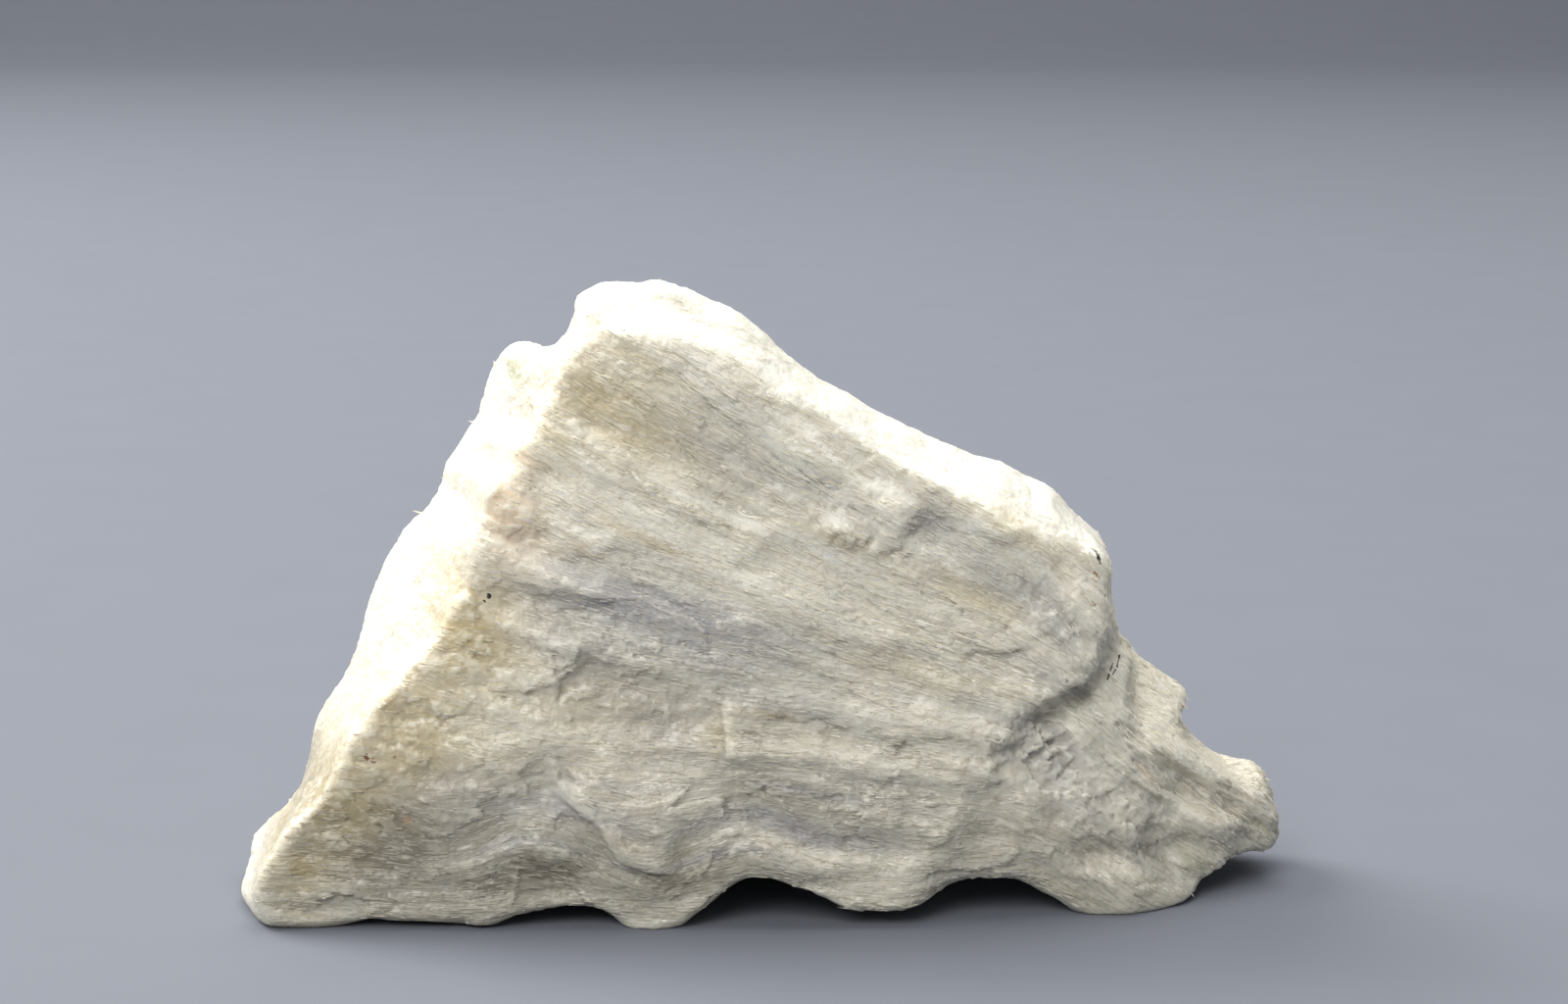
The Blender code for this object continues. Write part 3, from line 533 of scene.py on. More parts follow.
def spot_cover(x, level, spot):
    """How strongly a soft-edged oval spot, drawn out along the fibres, covers each point."""
    spot_x, spot_z, half_length, half_width, strength = spot
    away = level - fibre_level(np.array([spot_x]), np.array([spot_z]))[0]
    return strength * np.exp(-(((x - spot_x) / half_length) ** 2) - (away / half_width) ** 2)


def stains_and_painted_light_at(x, level, colours):
    """The colour of the stains, the painted glow and the painted shade at each point, laid over one another,
    and how much of it shows.
    """
    colour, share = np.zeros((len(x), 3)), np.zeros(len(x))
    for name, spots in STAINS_AND_PAINTED_LIGHT.items():
        stain = np.array(getattr(colours, name)[:3])
        for spot in spots:
            cover = spot_cover(x, level, spot)
            colour = colour * (1.0 - cover[:, None]) + cover[:, None] * stain
            share = share * (1.0 - cover) + cover
    return colour / np.maximum(share, 1e-4)[:, None], share


def calm_share(y, z, normals):
    """Where the left face and the crest are calm, 0 to 1."""
    left = facing(normals, LEFT, *SIDE_FACE) * smoothstep((CALM_LEFT_Y - y) / CALM_EDGE)
    crest = facing(normals, UP, *CREST_FACE) * smoothstep((z - CALM_CREST_Z) / CALM_EDGE)
    return np.maximum(left, crest)


def describe_break(mesh, colours):
    """Stores the fibre coordinates, the fibre direction, the stains with their painted glow and shade, and
    the kind of break at each vertex.
    """
    points, normals = read_surface(mesh)
    x, y, z = points.T / MM
    slope = fibre_slope(x, z)
    level = fibre_level(x, z)
    store(mesh, "grain", np.stack([x * np.sqrt(1.0 + slope**2), level, y], axis=1))
    sway = RUN_SWAY * np.sin(x / RUN_SWAY_LENGTHS[0] + z / RUN_SWAY_LENGTHS[1])
    run = np.stack([np.ones(len(x)), sway, -slope], axis=1)
    store(mesh, "fibre_run", run / np.linalg.norm(run, axis=1)[:, None])
    shown = facing(normals, FRONT, *SHOWN_FACE)
    stain, share = stains_and_painted_light_at(x, level, colours)
    store(mesh, "stain", stain)
    store(mesh, "stain_share", share * (HIDDEN_STAINS_AND_PAINTED_LIGHT + (1.0 - HIDDEN_STAINS_AND_PAINTED_LIGHT) * shown))
    compact = np.max([spot_cover(x, level, spot) for spot in COMPACT_SPOTS], axis=0)
    store(mesh, "compact", compact * shown)
    store(mesh, "front", facing(normals, FRONT, *MAIN_FACE))
    store(mesh, "calm", calm_share(y, z, normals))


def raise_sheet_ends(mesh):
    """Adds the crisp ledges where broad sheets of fibres are broken off."""
    points, normals = read_surface(mesh)
    x, _, z = points.T / MM
    proud = np.zeros(len(x))
    for end in SHEET_ENDS:
        away, along = from_line(x, z, end["line"])
        tips = smoothstep(along / SHEET_END_TIP) * smoothstep((1.0 - along) / SHEET_END_TIP)
        fade = np.clip(1.0 - away / end["reach"], 0.0, 1.0) ** SHEET_END_FADE
        proud += end["height"] * tips * fade * smoothstep(0.5 + away / SHEET_END_WIDTH)
    points[:, 1] -= proud * facing(normals, FRONT, *MAIN_FACE) * MM
    mesh.vertices.foreach_set("co", points.astype(np.float32).ravel())
    mesh.update()


def find_hollows(mesh):
    """Stores how deep each vertex lies under its neighbourhood, 0 on a ridge to 1 in a cleft."""
    points, normals = read_surface(mesh)
    count = len(points)
    ends = np.empty(len(mesh.edges) * 2, np.int32)
    mesh.edges.foreach_get("vertices", ends)
    a, b = ends.reshape(-1, 2).T
    links = np.bincount(a, minlength=count) + np.bincount(b, minlength=count)
    even = points.copy()
    for _ in range(HOLLOW_PASSES):
        total = [np.bincount(a, even[b, i], count) + np.bincount(b, even[a, i], count) for i in range(3)]
        even = 0.5 * even + 0.5 * np.stack(total, 1) / np.maximum(links, 1)[:, None]
    depth = ((even - points) * normals).sum(1) / MM
    store(mesh, "hollow", np.clip(0.5 + depth / HOLLOW_DEPTH, 0.0, 1.0))


# Node trees


def feed(tree, node, inputs):
    """Sets a node's inputs to values, or links them to other nodes' outputs."""
    for key, value in inputs.items():
        if isinstance(value, bpy.types.NodeSocket):
            tree.links.new(value, node.inputs[key])
        else:
            node.inputs[key].default_value = value


def wire(tree, kind, inputs=None, output=0, **settings):
    """Adds a node with its settings and inputs, and returns one of its outputs."""
    node = tree.nodes.new(kind)
    for key, value in settings.items():
        setattr(node, key, value)
    feed(tree, node, inputs or {})
    return node.outputs[output]


def maths(tree, operation, *values, clamp=False):
    """The output of a Math node."""
    return wire(tree, "ShaderNodeMath", dict(enumerate(values)), operation=operation, use_clamp=clamp)


def vector_maths(tree, operation, *values, output=0):
    """An output of a Vector Math node."""
    return wire(tree, "ShaderNodeVectorMath", dict(enumerate(values)), output, operation=operation)


def scaled(tree, vector, scale):
    """A vector times a number."""
    return wire(tree, "ShaderNodeVectorMath", {0: vector, "Scale": scale}, operation="SCALE")


def parts(tree, vector):
    """The three numbers of a vector."""
    return wire(tree, "ShaderNodeSeparateXYZ", {0: vector}).node.outputs


def add_up(tree, first, *shares):
    """The first value and each of the others times its share: (value, share), …"""
    total = first
    for value, share in shares:
        total = maths(tree, "ADD", total, maths(tree, "MULTIPLY", value, share))
    return total


def mixed(tree, mix, *values):
    """The start of a mix, and each of the values times its share."""
    return add_up(tree, mix[0], *zip(values, mix[1:]))


def less(tree, share, lost):
    """What is left of one: 1 - share * lost."""
    return maths(tree, "SUBTRACT", 1.0, maths(tree, "MULTIPLY", share, lost))


def ramp(tree, value, start, end, low=0.0, high=1.0, **settings):
    """Low where the value is at start, high where it is at end, and in between between them."""
    return wire(tree, "ShaderNodeMapRange", {
        "Value": value, "From Min": start, "From Max": end, "To Min": low, "To Max": high}, **settings)


def noise(tree, place, scale, detail=2.0, roughness=0.5):
    """Soft random values, 0 to 1."""
    return wire(tree, "ShaderNodeTexNoise", {
        "Vector": place, "Scale": scale, "Detail": detail, "Roughness": roughness})


def cells(tree, place):
    """A Voronoi node with random cells, about one unit across."""
    return wire(tree, "ShaderNodeTexVoronoi", {"Vector": place, "Scale": 1.0, "Randomness": 1.0}).node


def named(tree, name, kind="FLOAT_VECTOR"):
    """The output of a Named Attribute node."""
    return wire(tree, "GeometryNodeInputNamedAttribute", {"Name": name}, "Attribute", data_type=kind)


def keep(tree, geometry, name, value, kind="FLOAT", domain="POINT"):
    """The geometry with a value stored at its points or instances."""
    return wire(tree, "GeometryNodeStoreNamedAttribute", {"Geometry": geometry, "Name": name, "Value": value},
                data_type=kind, domain=domain)


def new_group(name, kind, inputs, outputs):
    """A node group with named sockets: each is (name, socket kind, default or None)."""
    tree = bpy.data.node_groups.new(name, kind)
    for label, socket, default in inputs:
        made = tree.interface.new_socket(label, in_out="INPUT", socket_type=socket)
        if default is not None:
            made.default_value = default
    for label, socket in outputs:
        tree.interface.new_socket(label, in_out="OUTPUT", socket_type=socket)
    return tree


def finish(tree, geometry, material):
    """Ends a Geometry Nodes tree: its instances made real, and its material set."""
    real = wire(tree, "GeometryNodeRealizeInstances", {"Geometry": geometry})
    clad = wire(tree, "GeometryNodeSetMaterial", {"Geometry": real, "Material": material})
    tree.links.new(clad, tree.nodes.new("NodeGroupOutput").inputs[0])


def use_group(obj, tree, values):
    """Puts a Geometry Nodes modifier on obj, with its named inputs set."""
    modifier = obj.modifiers.new(tree.name, "NODES")
    modifier.node_group = tree
    for item in tree.interface.items_tree:
        if item.in_out == "INPUT" and item.name in values:
            modifier[item.identifier] = values[item.name]


def blade_cells(tree, grain, size, seed):
    """Ragged stretched cells, one to a blade: each point's cell coordinates, and the Voronoi node."""
    stretched = vector_maths(tree, "DIVIDE", grain, size)
    sway = noise(tree, stretched, RAGGED_SCALE, roughness=RAGGED_ROUGHNESS)
    sway = scaled(tree, RAGGED, maths(tree, "SUBTRACT", sway, 0.5))
    apart = scaled(tree, LAYERS_APART, seed)
    place = vector_maths(tree, "ADD", vector_maths(tree, "ADD", stretched, sway), apart)
    return place, cells(tree, place)


def blade_height(tree, place, cell, tilt):
    """How proud each blade stands, around zero: a height and a tilt of its own."""
    level, lean, roll = parts(tree, cell.outputs["Color"])
    along, across, _ = parts(tree, vector_maths(tree, "SUBTRACT", place, cell.outputs["Position"]))
    lean = maths(tree, "MULTIPLY", along, maths(tree, "SUBTRACT", lean, FALLING))
    roll = maths(tree, "MULTIPLY", across, maths(tree, "MULTIPLY", 2.0, maths(tree, "SUBTRACT", roll, 0.5)))
    lift = maths(tree, "MULTIPLY", tilt, maths(tree, "ADD", lean, roll))
    return maths(tree, "ADD", maths(tree, "SUBTRACT", level, 0.5), lift)


def bladed_steps(tree, grain, height, blades):
    """Flat-topped blades of one size: their height in metres, and each one's own tone, 0 to 1."""
    size, seed, tilt = blades
    place, cell = blade_cells(tree, grain, size, seed)
    tone = parts(tree, cell.outputs["Color"])[1]
    return maths(tree, "MULTIPLY", height, blade_height(tree, place, cell, tilt)), tone


def turned_bundles(tree, grain, turn):
    """The grain coordinates with every bundle of fibres turned a little way of its own."""
    stretched = vector_maths(tree, "DIVIDE", grain, TURN_SIZE)
    cell = cells(tree, stretched)
    chance = parts(tree, cell.outputs["Color"])[2]
    along = parts(tree, vector_maths(tree, "SUBTRACT", stretched, cell.outputs["Position"]))[0]
    shear = maths(tree, "MULTIPLY", along, turn)
    shear = maths(tree, "MULTIPLY", maths(tree, "SUBTRACT", chance, 0.5), shear)
    shift = wire(tree, "ShaderNodeCombineXYZ", {1: maths(tree, "MULTIPLY", shear, TURN_SIZE[0])})
    return vector_maths(tree, "ADD", grain, shift)


def fibrous_steps(tree, grain, given):
    """The blades of three sizes: their joint height, and the tones of the sheets and of the bundles."""
    sheets, sheet_tone = bladed_steps(tree, grain, given["Sheet height"], SHEETS)
    bundles, bundle_tone = bladed_steps(tree, grain, given["Bundle height"], BUNDLES)
    fibres, _ = bladed_steps(tree, grain, given["Fibre height"], FIBRES)
    return maths(tree, "ADD", maths(tree, "ADD", sheets, bundles), fibres), sheet_tone, bundle_tone


def flaky_steps(tree, place, height):
    """Flakes and crumbs, which don't follow the fibres: their joint height."""
    in_mm = scaled(tree, place, 1.0 / MM)
    flakes, _ = bladed_steps(tree, in_mm, height, FLAKES)
    crumbs, _ = bladed_steps(tree, in_mm, height, CRUMBS)
    return add_up(tree, flakes, (crumbs, CRUMB_SHARE))


def compact_share(tree, place):
    """Where the break is flaky: the compact spots, and small patches between the fibres."""
    patches = ramp(tree, noise(tree, place, PATCH_SCALE), *PATCH_RANGE, high=PATCH_SHARE)
    return maths(tree, "MAXIMUM", named(tree, "compact", "FLOAT"), patches)


def relief_lift(tree, place, blades, given):
    """How far the surface is lifted: blades or flakes, pores, and nothing at the feet."""
    calm = less(tree, named(tree, "calm", "FLOAT"), CALMED)
    compact = maths(tree, "MULTIPLY", compact_share(tree, place), calm)
    fibrous = maths(tree, "MULTIPLY", calm, less(tree, maths(tree, "MINIMUM", compact, 1.0), FIBRES_LOST))
    blades = maths(tree, "MULTIPLY", blades, fibrous)
    flakes = maths(tree, "MULTIPLY", flaky_steps(tree, place, given["Flake height"]), compact)
    pores = maths(tree, "SUBTRACT", noise(tree, place, PORE_SCALE), 0.5)
    pores = maths(tree, "MULTIPLY", pores, given["Pore depth"])
    lift = maths(tree, "ADD", maths(tree, "ADD", blades, flakes), pores)
    feet = ramp(tree, parts(tree, place)[2], *(height * MM for height in FOOT_HEIGHTS))
    return maths(tree, "MULTIPLY", lift, feet)


def dull_share(tree, grain, sheet_tone):
    """How dull the fibres are: in broad streaks, and sheet by sheet."""
    streaks = noise(tree, vector_maths(tree, "DIVIDE", grain, BROAD_STREAKS), 1.0)
    return mixed(tree, DULL_BREAK, sheet_tone, ramp(tree, streaks, *STREAK_RANGE))


def fibrous_relief():
    """Geometry Nodes: blades of three sizes along the grain, and flakes where the stone is compact."""
    tree = new_group(
        "fibrous_relief", "GeometryNodeTree",
        [("Geometry", "NodeSocketGeometry", None), ("Material", "NodeSocketMaterial", None),
         *((name, "NodeSocketFloat", None) for name in RELIEF_NUMBERS)],
        [("Geometry", "NodeSocketGeometry")])
    given = tree.nodes.new("NodeGroupInput").outputs
    grain = turned_bundles(tree, named(tree, "grain"), given["Bundle turn"])
    place = wire(tree, "GeometryNodeInputPosition")
    blades, sheet_tone, bundle_tone = fibrous_steps(tree, grain, given)
    lift = relief_lift(tree, place, blades, given)
    moved = vector_maths(tree, "ADD", place, scaled(tree, wire(tree, "GeometryNodeInputNormal"), lift))
    above_table = vector_maths(tree, "MAXIMUM", moved, (-1.0, -1.0, 0.0))
    shaped = wire(tree, "GeometryNodeSetPosition", {"Geometry": given["Geometry"], "Position": above_table})
    shaped = keep(tree, shaped, "dull", dull_share(tree, grain, sheet_tone))
    shaped = keep(tree, shaped, "bundle_tone", bundle_tone)
    shaped = keep(tree, shaped, "turned_grain", grain, "FLOAT_VECTOR")
    finish(tree, shaped, given["Material"])
    return tree


def splinter_mesh(name, outline):
    """A slim closed blade, one unit long, wide and thick, through the cross-sections of an outline."""
    shape = bmesh.new()
    rings = []
    for x, half, top, shift in outline:
        ring = [(x, shift - half, SPLINTER_BASE), (x, shift + half, SPLINTER_BASE)]
        ring += [(x, shift + side * half, share * top) for side, share in SPLINTER_CORNERS]
        rings.append([shape.verts.new(corner) for corner in ring])
    ends = zip((-0.5, 0.5), (outline[0], outline[-1]), SPLINTER_TIPS)
    tips = [shape.verts.new((x, section[3], height)) for x, section, height in ends]
    for tip, ring in zip(tips, (rings[0], rings[-1])):
        for i in range(4):
            shape.faces.new((tip, ring[i], ring[i - 1]))
    for before, after in zip(rings[:-1], rings[1:]):
        for i in range(4):
            shape.faces.new((before[i - 1], before[i], after[i], after[i - 1]))
    bmesh.ops.recalc_face_normals(shape, faces=shape.faces)
    mesh = bpy.data.meshes.new(name)
    shape.to_mesh(mesh)
    shape.free()
    return mesh


def splinter_shapes():
    """A collection of its own for the shapes that the splinters are picked from."""
    shapes = bpy.data.collections.new("splinter_shapes")
    for number, outline in enumerate(SPLINTER_OUTLINES):
        name = f"splinter_{number}"
        shapes.objects.link(bpy.data.objects.new(name, splinter_mesh(name, outline)))
    return shapes


def chances(tree, least, most, seed):
    """A random number at each point or instance."""
    return wire(
        tree, "FunctionNodeRandomValue", {"Min": least, "Max": most, "Seed": seed}, 1, data_type="FLOAT")


def splinter_turn(tree, normal, run):
    """How each splinter is turned: flat on the surface along the fibres, and a little off at random."""
    turn = wire(tree, "FunctionNodeAxesToRotation", {"Primary Axis": normal, "Secondary Axis": run},
                primary_axis="Z", secondary_axis="X")
    least = tuple(-lean for lean in SPLINTER_LEAN)
    lean = wire(tree, "FunctionNodeRandomValue", {0: least, 1: SPLINTER_LEAN, "Seed": LEAN_SEED},
                data_type="FLOAT_VECTOR")
    return wire(tree, "FunctionNodeRotateRotation", {0: turn, 1: lean}, rotation_space="LOCAL")


def splinter_size(tree, normal, run, given):
    """How large each splinter is: a few are long, and those on surfaces across the fibres are short."""
    across = vector_maths(tree, "DOT_PRODUCT", run, normal, output="Value")
    across = maths(tree, "MULTIPLY", across, across)
    chance = chances(tree, 0.0, 1.0, LENGTH_SEED)
    length = maths(tree, "MULTIPLY", given["Length"], ramp(tree, chance, LONG_FROM, 1.0, 1.0, LONGEST))
    length = maths(tree, "MULTIPLY", length, less(tree, across, SHORTENED))
    middling = wire(tree, "ShaderNodeCombineXYZ", {0: length, 1: given["Width"], 2: given["Thickness"]})
    least, most = SPLINTER_SPREAD
    spread = wire(tree, "FunctionNodeRandomValue", {0: least, 1: most, "Seed": SPREAD_SEED},
                  data_type="FLOAT_VECTOR")
    return vector_maths(tree, "MULTIPLY", middling, spread)


def lay_splinters():
    """Geometry Nodes: splinters on the surface along the fibres, each turned and sized at random."""
    tree = new_group(
        "lay_splinters", "GeometryNodeTree",
        [("Geometry", "NodeSocketGeometry", None), ("Shapes", "NodeSocketCollection", None),
         ("Seed", "NodeSocketInt", None), ("Material", "NodeSocketMaterial", None),
         *((name, "NodeSocketFloat", None) for name in SPLINTER_NUMBERS)],
        [("Geometry", "NodeSocketGeometry")])
    given = tree.nodes.new("NodeGroupInput").outputs
    density = maths(tree, "MULTIPLY", given["Density"], named(tree, "cover", "FLOAT"))
    spread = wire(tree, "GeometryNodeDistributePointsOnFaces", {
        "Mesh": given["Geometry"], "Density": density, "Seed": given["Seed"]})
    normal = spread.node.outputs["Normal"]
    run = named(tree, "fibre_run")
    picked = wire(tree, "GeometryNodeCollectionInfo", {
        "Collection": given["Shapes"], "Separate Children": True, "Reset Children": True})
    laid = wire(tree, "GeometryNodeInstanceOnPoints", {
        "Points": spread, "Instance": picked, "Pick Instance": True,
        "Rotation": splinter_turn(tree, normal, run), "Scale": splinter_size(tree, normal, run, given)})
    laid = keep(tree, laid, "tone", chances(tree, -1.0, 1.0, TONE_SEED), domain="INSTANCE")
    finish(tree, laid, given["Material"])
    return tree


# Materials


def shader_group(name, inputs, outputs):
    """A shader node group, the sockets that feed it, and the sockets that it puts out."""
    tree = new_group(name, "ShaderNodeTree", inputs, outputs)
    return tree, tree.nodes.new("NodeGroupInput").outputs, tree.nodes.new("NodeGroupOutput").inputs


def streak_group():
    """Shader group: streaks along the grain, 0 to 1, of a given size in millimetres."""
    tree, given, result = shader_group(
        "fibre_streaks",
        [("Grain", "NodeSocketVector", None), ("Size", "NodeSocketVector", FINE_STREAKS[0]),
         ("Seed", "NodeSocketFloat", 0.0)],
        [("Streak", "NodeSocketFloat")])
    stretched = vector_maths(tree, "DIVIDE", given["Grain"], given["Size"])
    place = vector_maths(tree, "ADD", stretched, given["Seed"])
    streak = ramp(tree, noise(tree, place, 1.0, roughness=0.65), *STREAK_RANGE)
    tree.links.new(streak, result["Streak"])
    return tree


def blade_group():
    """Shader group: blades of fibres of a given size, with a height and a tone of their own."""
    tree, given, result = shader_group(
        "fibre_blades",
        [("Grain", "NodeSocketVector", None), ("Size", "NodeSocketVector", FIBRES[0]),
         ("Seed", "NodeSocketFloat", 0.0)],
        [("Height", "NodeSocketFloat"), ("Tone", "NodeSocketFloat")])
    place, cell = blade_cells(tree, given["Grain"], given["Size"], given["Seed"])
    tree.links.new(blade_height(tree, place, cell, FIBRES[2]), result["Height"])
    tree.links.new(parts(tree, cell.outputs["Color"])[1], result["Tone"])
    return tree


def stains_and_light_group():
    """Shader group: a colour with the stains, painted glow and painted shade that the mesh holds laid over it
    in patches.
    """
    tree, given, result = shader_group(
        "mineral_stains",
        [("Color", "NodeSocketColor", None), ("Patches", "NodeSocketFloat", 1.0)],
        [("Color", "NodeSocketColor")])
    share = maths(tree, "MULTIPLY", attribute(tree, "stain_share"), given["Patches"], clamp=True)
    laid_over = blend_colours(tree, share, given["Color"], attribute(tree, "stain", "Vector"))
    tree.links.new(laid_over, result["Color"])
    return tree


def grain_and_low_shade_group():
    """Shader group: a colour darkened a little by grains and streaks, and darker near the table as painted
    shade.
    """
    tree, given, result = shader_group(
        "weathering",
        [("Color", "NodeSocketColor", None), ("Place", "NodeSocketVector", None),
         ("Grains", "NodeSocketFloat", 0.5), ("Streak", "NodeSocketFloat", 0.5)],
        [("Color", "NodeSocketColor")])
    shade = mixed(tree, SHADES, given["Grains"], given["Streak"])
    # Painted shade: darker towards the table.
    low_shade = ramp(tree, parts(tree, given["Place"])[2], 0.0, PAINTED_SHADE_BELOW * MM, PAINTED_SHADE_KEEPS, 1.0,
                     interpolation_type="SMOOTHSTEP")
    tree.links.new(scaled(tree, given["Color"], maths(tree, "MULTIPLY", shade, low_shade)), result["Color"])
    return tree


SHADER_GROUPS = {"fibre_streaks": streak_group, "fibre_blades": blade_group, "mineral_stains": stains_and_light_group,
                 "weathering": grain_and_low_shade_group}


def use_shader_group(tree, name, inputs):
    """The outputs of a shader group with its inputs fed; the group is built on its first use."""
    node = tree.nodes.new("ShaderNodeGroup")
    node.node_tree = bpy.data.node_groups.get(name) or SHADER_GROUPS[name]()
    feed(tree, node, inputs)
    return node.outputs


def blend_colours(tree, share, first, second):
    """Mixes two colours, each a socket or a value."""
    node = tree.nodes.new("ShaderNodeMix")
    node.data_type = "RGBA"
    for key, value in (("Factor", share), ("A", first), ("B", second)):
        socket = next(s for s in node.inputs if s.name == key and s.enabled)
        if isinstance(value, bpy.types.NodeSocket):
            tree.links.new(value, socket)
        else:
            socket.default_value = value
    return next(s for s in node.outputs if s.enabled)


def flat_distance(tree, flat, x, z):
    """How far each point is from (x, z) on the main face, in metres."""
    return vector_maths(tree, "DISTANCE", flat, (x * MM, 0.0, z * MM), output="Value")


def crack_distance(tree, flat, start, end):
    """How far each point is from a straight piece of a crack on the main face, in metres."""
    start, end = (Vector((x * MM, 0.0, z * MM)) for x, z in (start, end))
    span = end - start
    share = vector_maths(tree, "SUBTRACT", flat, start)
    share = vector_maths(tree, "DOT_PRODUCT", share, span, output="Value")
    share = maths(tree, "DIVIDE", share, span.length_squared, clamp=True)
    nearest = vector_maths(tree, "ADD", scaled(tree, span, share), start)
    return vector_maths(tree, "DISTANCE", flat, nearest, output="Value")


def inside(tree, distance, radius, ragged):
    """1 where a ragged-edged spot or line of a given radius in millimetres is, 0 outside it."""
    distance = add_up(tree, distance, (ragged, radius * MM))
    return ramp(tree, distance, *(share * radius * MM for share in SPECK_EDGE))


def dotted(tree, colour, place, front):
    """The colour with the specks of the main face in it, and the painted shade of its cracks."""
    flat = vector_maths(tree, "MULTIPLY", place, (1.0, 0.0, 1.0))
    ragged = maths(tree, "SUBTRACT", noise(tree, place, SPECK_EDGE_SCALE, 1.0), 0.5)
    ragged = maths(tree, "MULTIPLY", SPECK_RAGGEDNESS, ragged)
    for x, z, radius, shade in SPECKS:
        mask = inside(tree, flat_distance(tree, flat, x, z), radius, ragged)
        colour = blend_colours(tree, maths(tree, "MULTIPLY", mask, front), colour, shade)
    for half_width, points in CRACKS:
        near = crack_distance(tree, flat, *points[:2])
        for start, end in zip(points[1:], points[2:]):
            near = maths(tree, "MINIMUM", near, crack_distance(tree, flat, start, end))
        mask = inside(tree, near, half_width, ragged)
        colour = blend_colours(tree, maths(tree, "MULTIPLY", mask, front), colour, CRACK_PAINTED_SHADE)
    return colour


def attribute(tree, name, output="Fac"):
    """The output of an Attribute node."""
    return wire(tree, "ShaderNodeAttribute", output=output, attribute_name=name)


def new_mineral(name, glow):
    """A material with the mineral's gloss and a given share of light that passes under its surface."""
    material = bpy.data.materials.new(name)
    material.use_nodes = True
    surface = material.node_tree.nodes["Principled BSDF"]
    surface.inputs["IOR"].default_value = MINERAL_IOR
    surface.inputs["Subsurface Weight"].default_value = glow
    surface.inputs["Subsurface Radius"].default_value = GLOW_RADIUS
    surface.inputs["Subsurface Scale"].default_value = GLOW_DEPTH * MM
    return material, material.node_tree, surface


def fibrous_colour(tree, colours, fibres, streak):
    """White and ivory fibres, stained, with a painted highlight on the ridges and painted shade in the
    clefts.
    """
    bundle = attribute(tree, "bundle_tone")
    fibre = fibres["Tone"]
    dull = mixed(tree, DULL_FIBRES, attribute(tree, "dull"), bundle, fibre, streak)
    dull = maths(tree, "MULTIPLY", dull, less(tree, attribute(tree, "calm"), CALM_DULL), clamp=True)
    colour = blend_colours(tree, dull, tuple(colours.white), tuple(colours.ivory))
    patches = mixed(tree, STAINED_FIBRES, bundle, fibre, streak)
    colour = use_shader_group(tree, "mineral_stains", {"Color": colour, "Patches": patches})["Color"]
    hollow = attribute(tree, "hollow")
    # Painted highlight on the ridges, then painted shade in the clefts.
    colour = blend_colours(tree, ramp(tree, hollow, *PAINTED_RIDGE_HIGHLIGHT), colour, tuple(colours.cream_and_ridge_highlight))
    return blend_colours(tree, ramp(tree, hollow, *PAINTED_CLEFT_SHADE), colour, tuple(colours.umber_and_cleft_shade))


def fibrous_bump(tree, fibres, streak, grains):
    """The finest roughness: fibres and streaks where the break is fibrous, grains all over."""
    fibrous = maths(tree, "MULTIPLY", attribute(tree, "compact"), FIBRES_LOST)
    fibrous = maths(tree, "SUBTRACT", 1.0, fibrous, clamp=True)
    uneven = mixed(tree, UNEVEN, attribute(tree, "bundle_tone"), attribute(tree, "calm"))
    relief = add_up(tree, 0.0, (fibres["Height"], FIBRE_BUMP), (streak, STREAK_BUMP))
    relief = maths(tree, "MULTIPLY", relief, maths(tree, "MULTIPLY", fibrous, uneven))
    relief = add_up(tree, relief, (grains, GRAIN_BUMP))
    return wire(tree, "ShaderNodeBump", {"Height": relief, "Strength": 1.0, "Distance": MM})


def stone_material(colours):
    """Silky, slightly translucent white wollastonite, streaked along the grain and stained."""
    material, tree, surface = new_mineral("wollastonite_break", STONE_GLOW)
    grain = attribute(tree, "turned_grain", "Vector")
    place = wire(tree, "ShaderNodeTexCoord", output="Object")
    fibres = use_shader_group(tree, "fibre_blades", {"Grain": grain, "Size": FIBRES[0], "Seed": FIBRES[1]})
    streak = use_shader_group(
        tree, "fibre_streaks", {"Grain": grain, "Size": FINE_STREAKS[0], "Seed": FINE_STREAKS[1]})["Streak"]
    grains = noise(tree, place, GRAIN_SCALE, 1.0)
    colour = fibrous_colour(tree, colours, fibres, streak)
    colour = use_shader_group(
        tree, "weathering", {"Color": colour, "Place": place, "Grains": grains, "Streak": streak})["Color"]
    colour = dotted(tree, colour, place, attribute(tree, "front"))
    tree.links.new(colour, surface.inputs["Base Color"])
    tree.links.new(ramp(tree, fibres["Tone"], 0.0, 1.0, *STONE_ROUGHNESS), surface.inputs["Roughness"])
    tree.links.new(fibrous_bump(tree, fibres, streak, grains), surface.inputs["Normal"])
    return material


def splinter_material(colours):
    """Fresh splinters: each a little paler or duller than the next, and stained like the stone under it,
    painted glow and shade included.
    """
    material, tree, surface = new_mineral("wollastonite_splinter", 0.0)
    place = wire(tree, "ShaderNodeTexCoord", output="Object")
    grains = noise(tree, place, GRAIN_SCALE, 1.0)
    dull = mixed(tree, DULL_SPLINTERS, attribute(tree, "tone"), attribute(tree, "calm"))
    dull = maths(tree, "MAXIMUM", dull, 0.0)
    colour = blend_colours(tree, dull, tuple(colours.white), tuple(colours.ivory))
    patches = mixed(tree, STAINED_SPLINTERS, grains)
    colour = use_shader_group(tree, "mineral_stains", {"Color": colour, "Patches": patches})["Color"]
    colour = use_shader_group(
        tree, "weathering", {"Color": colour, "Place": place, "Grains": grains, "Streak": dull})["Color"]
    tree.links.new(colour, surface.inputs["Base Color"])
    tree.links.new(ramp(tree, grains, 0.0, 1.0, *SPLINTER_ROUGHNESS), surface.inputs["Roughness"])
    return material


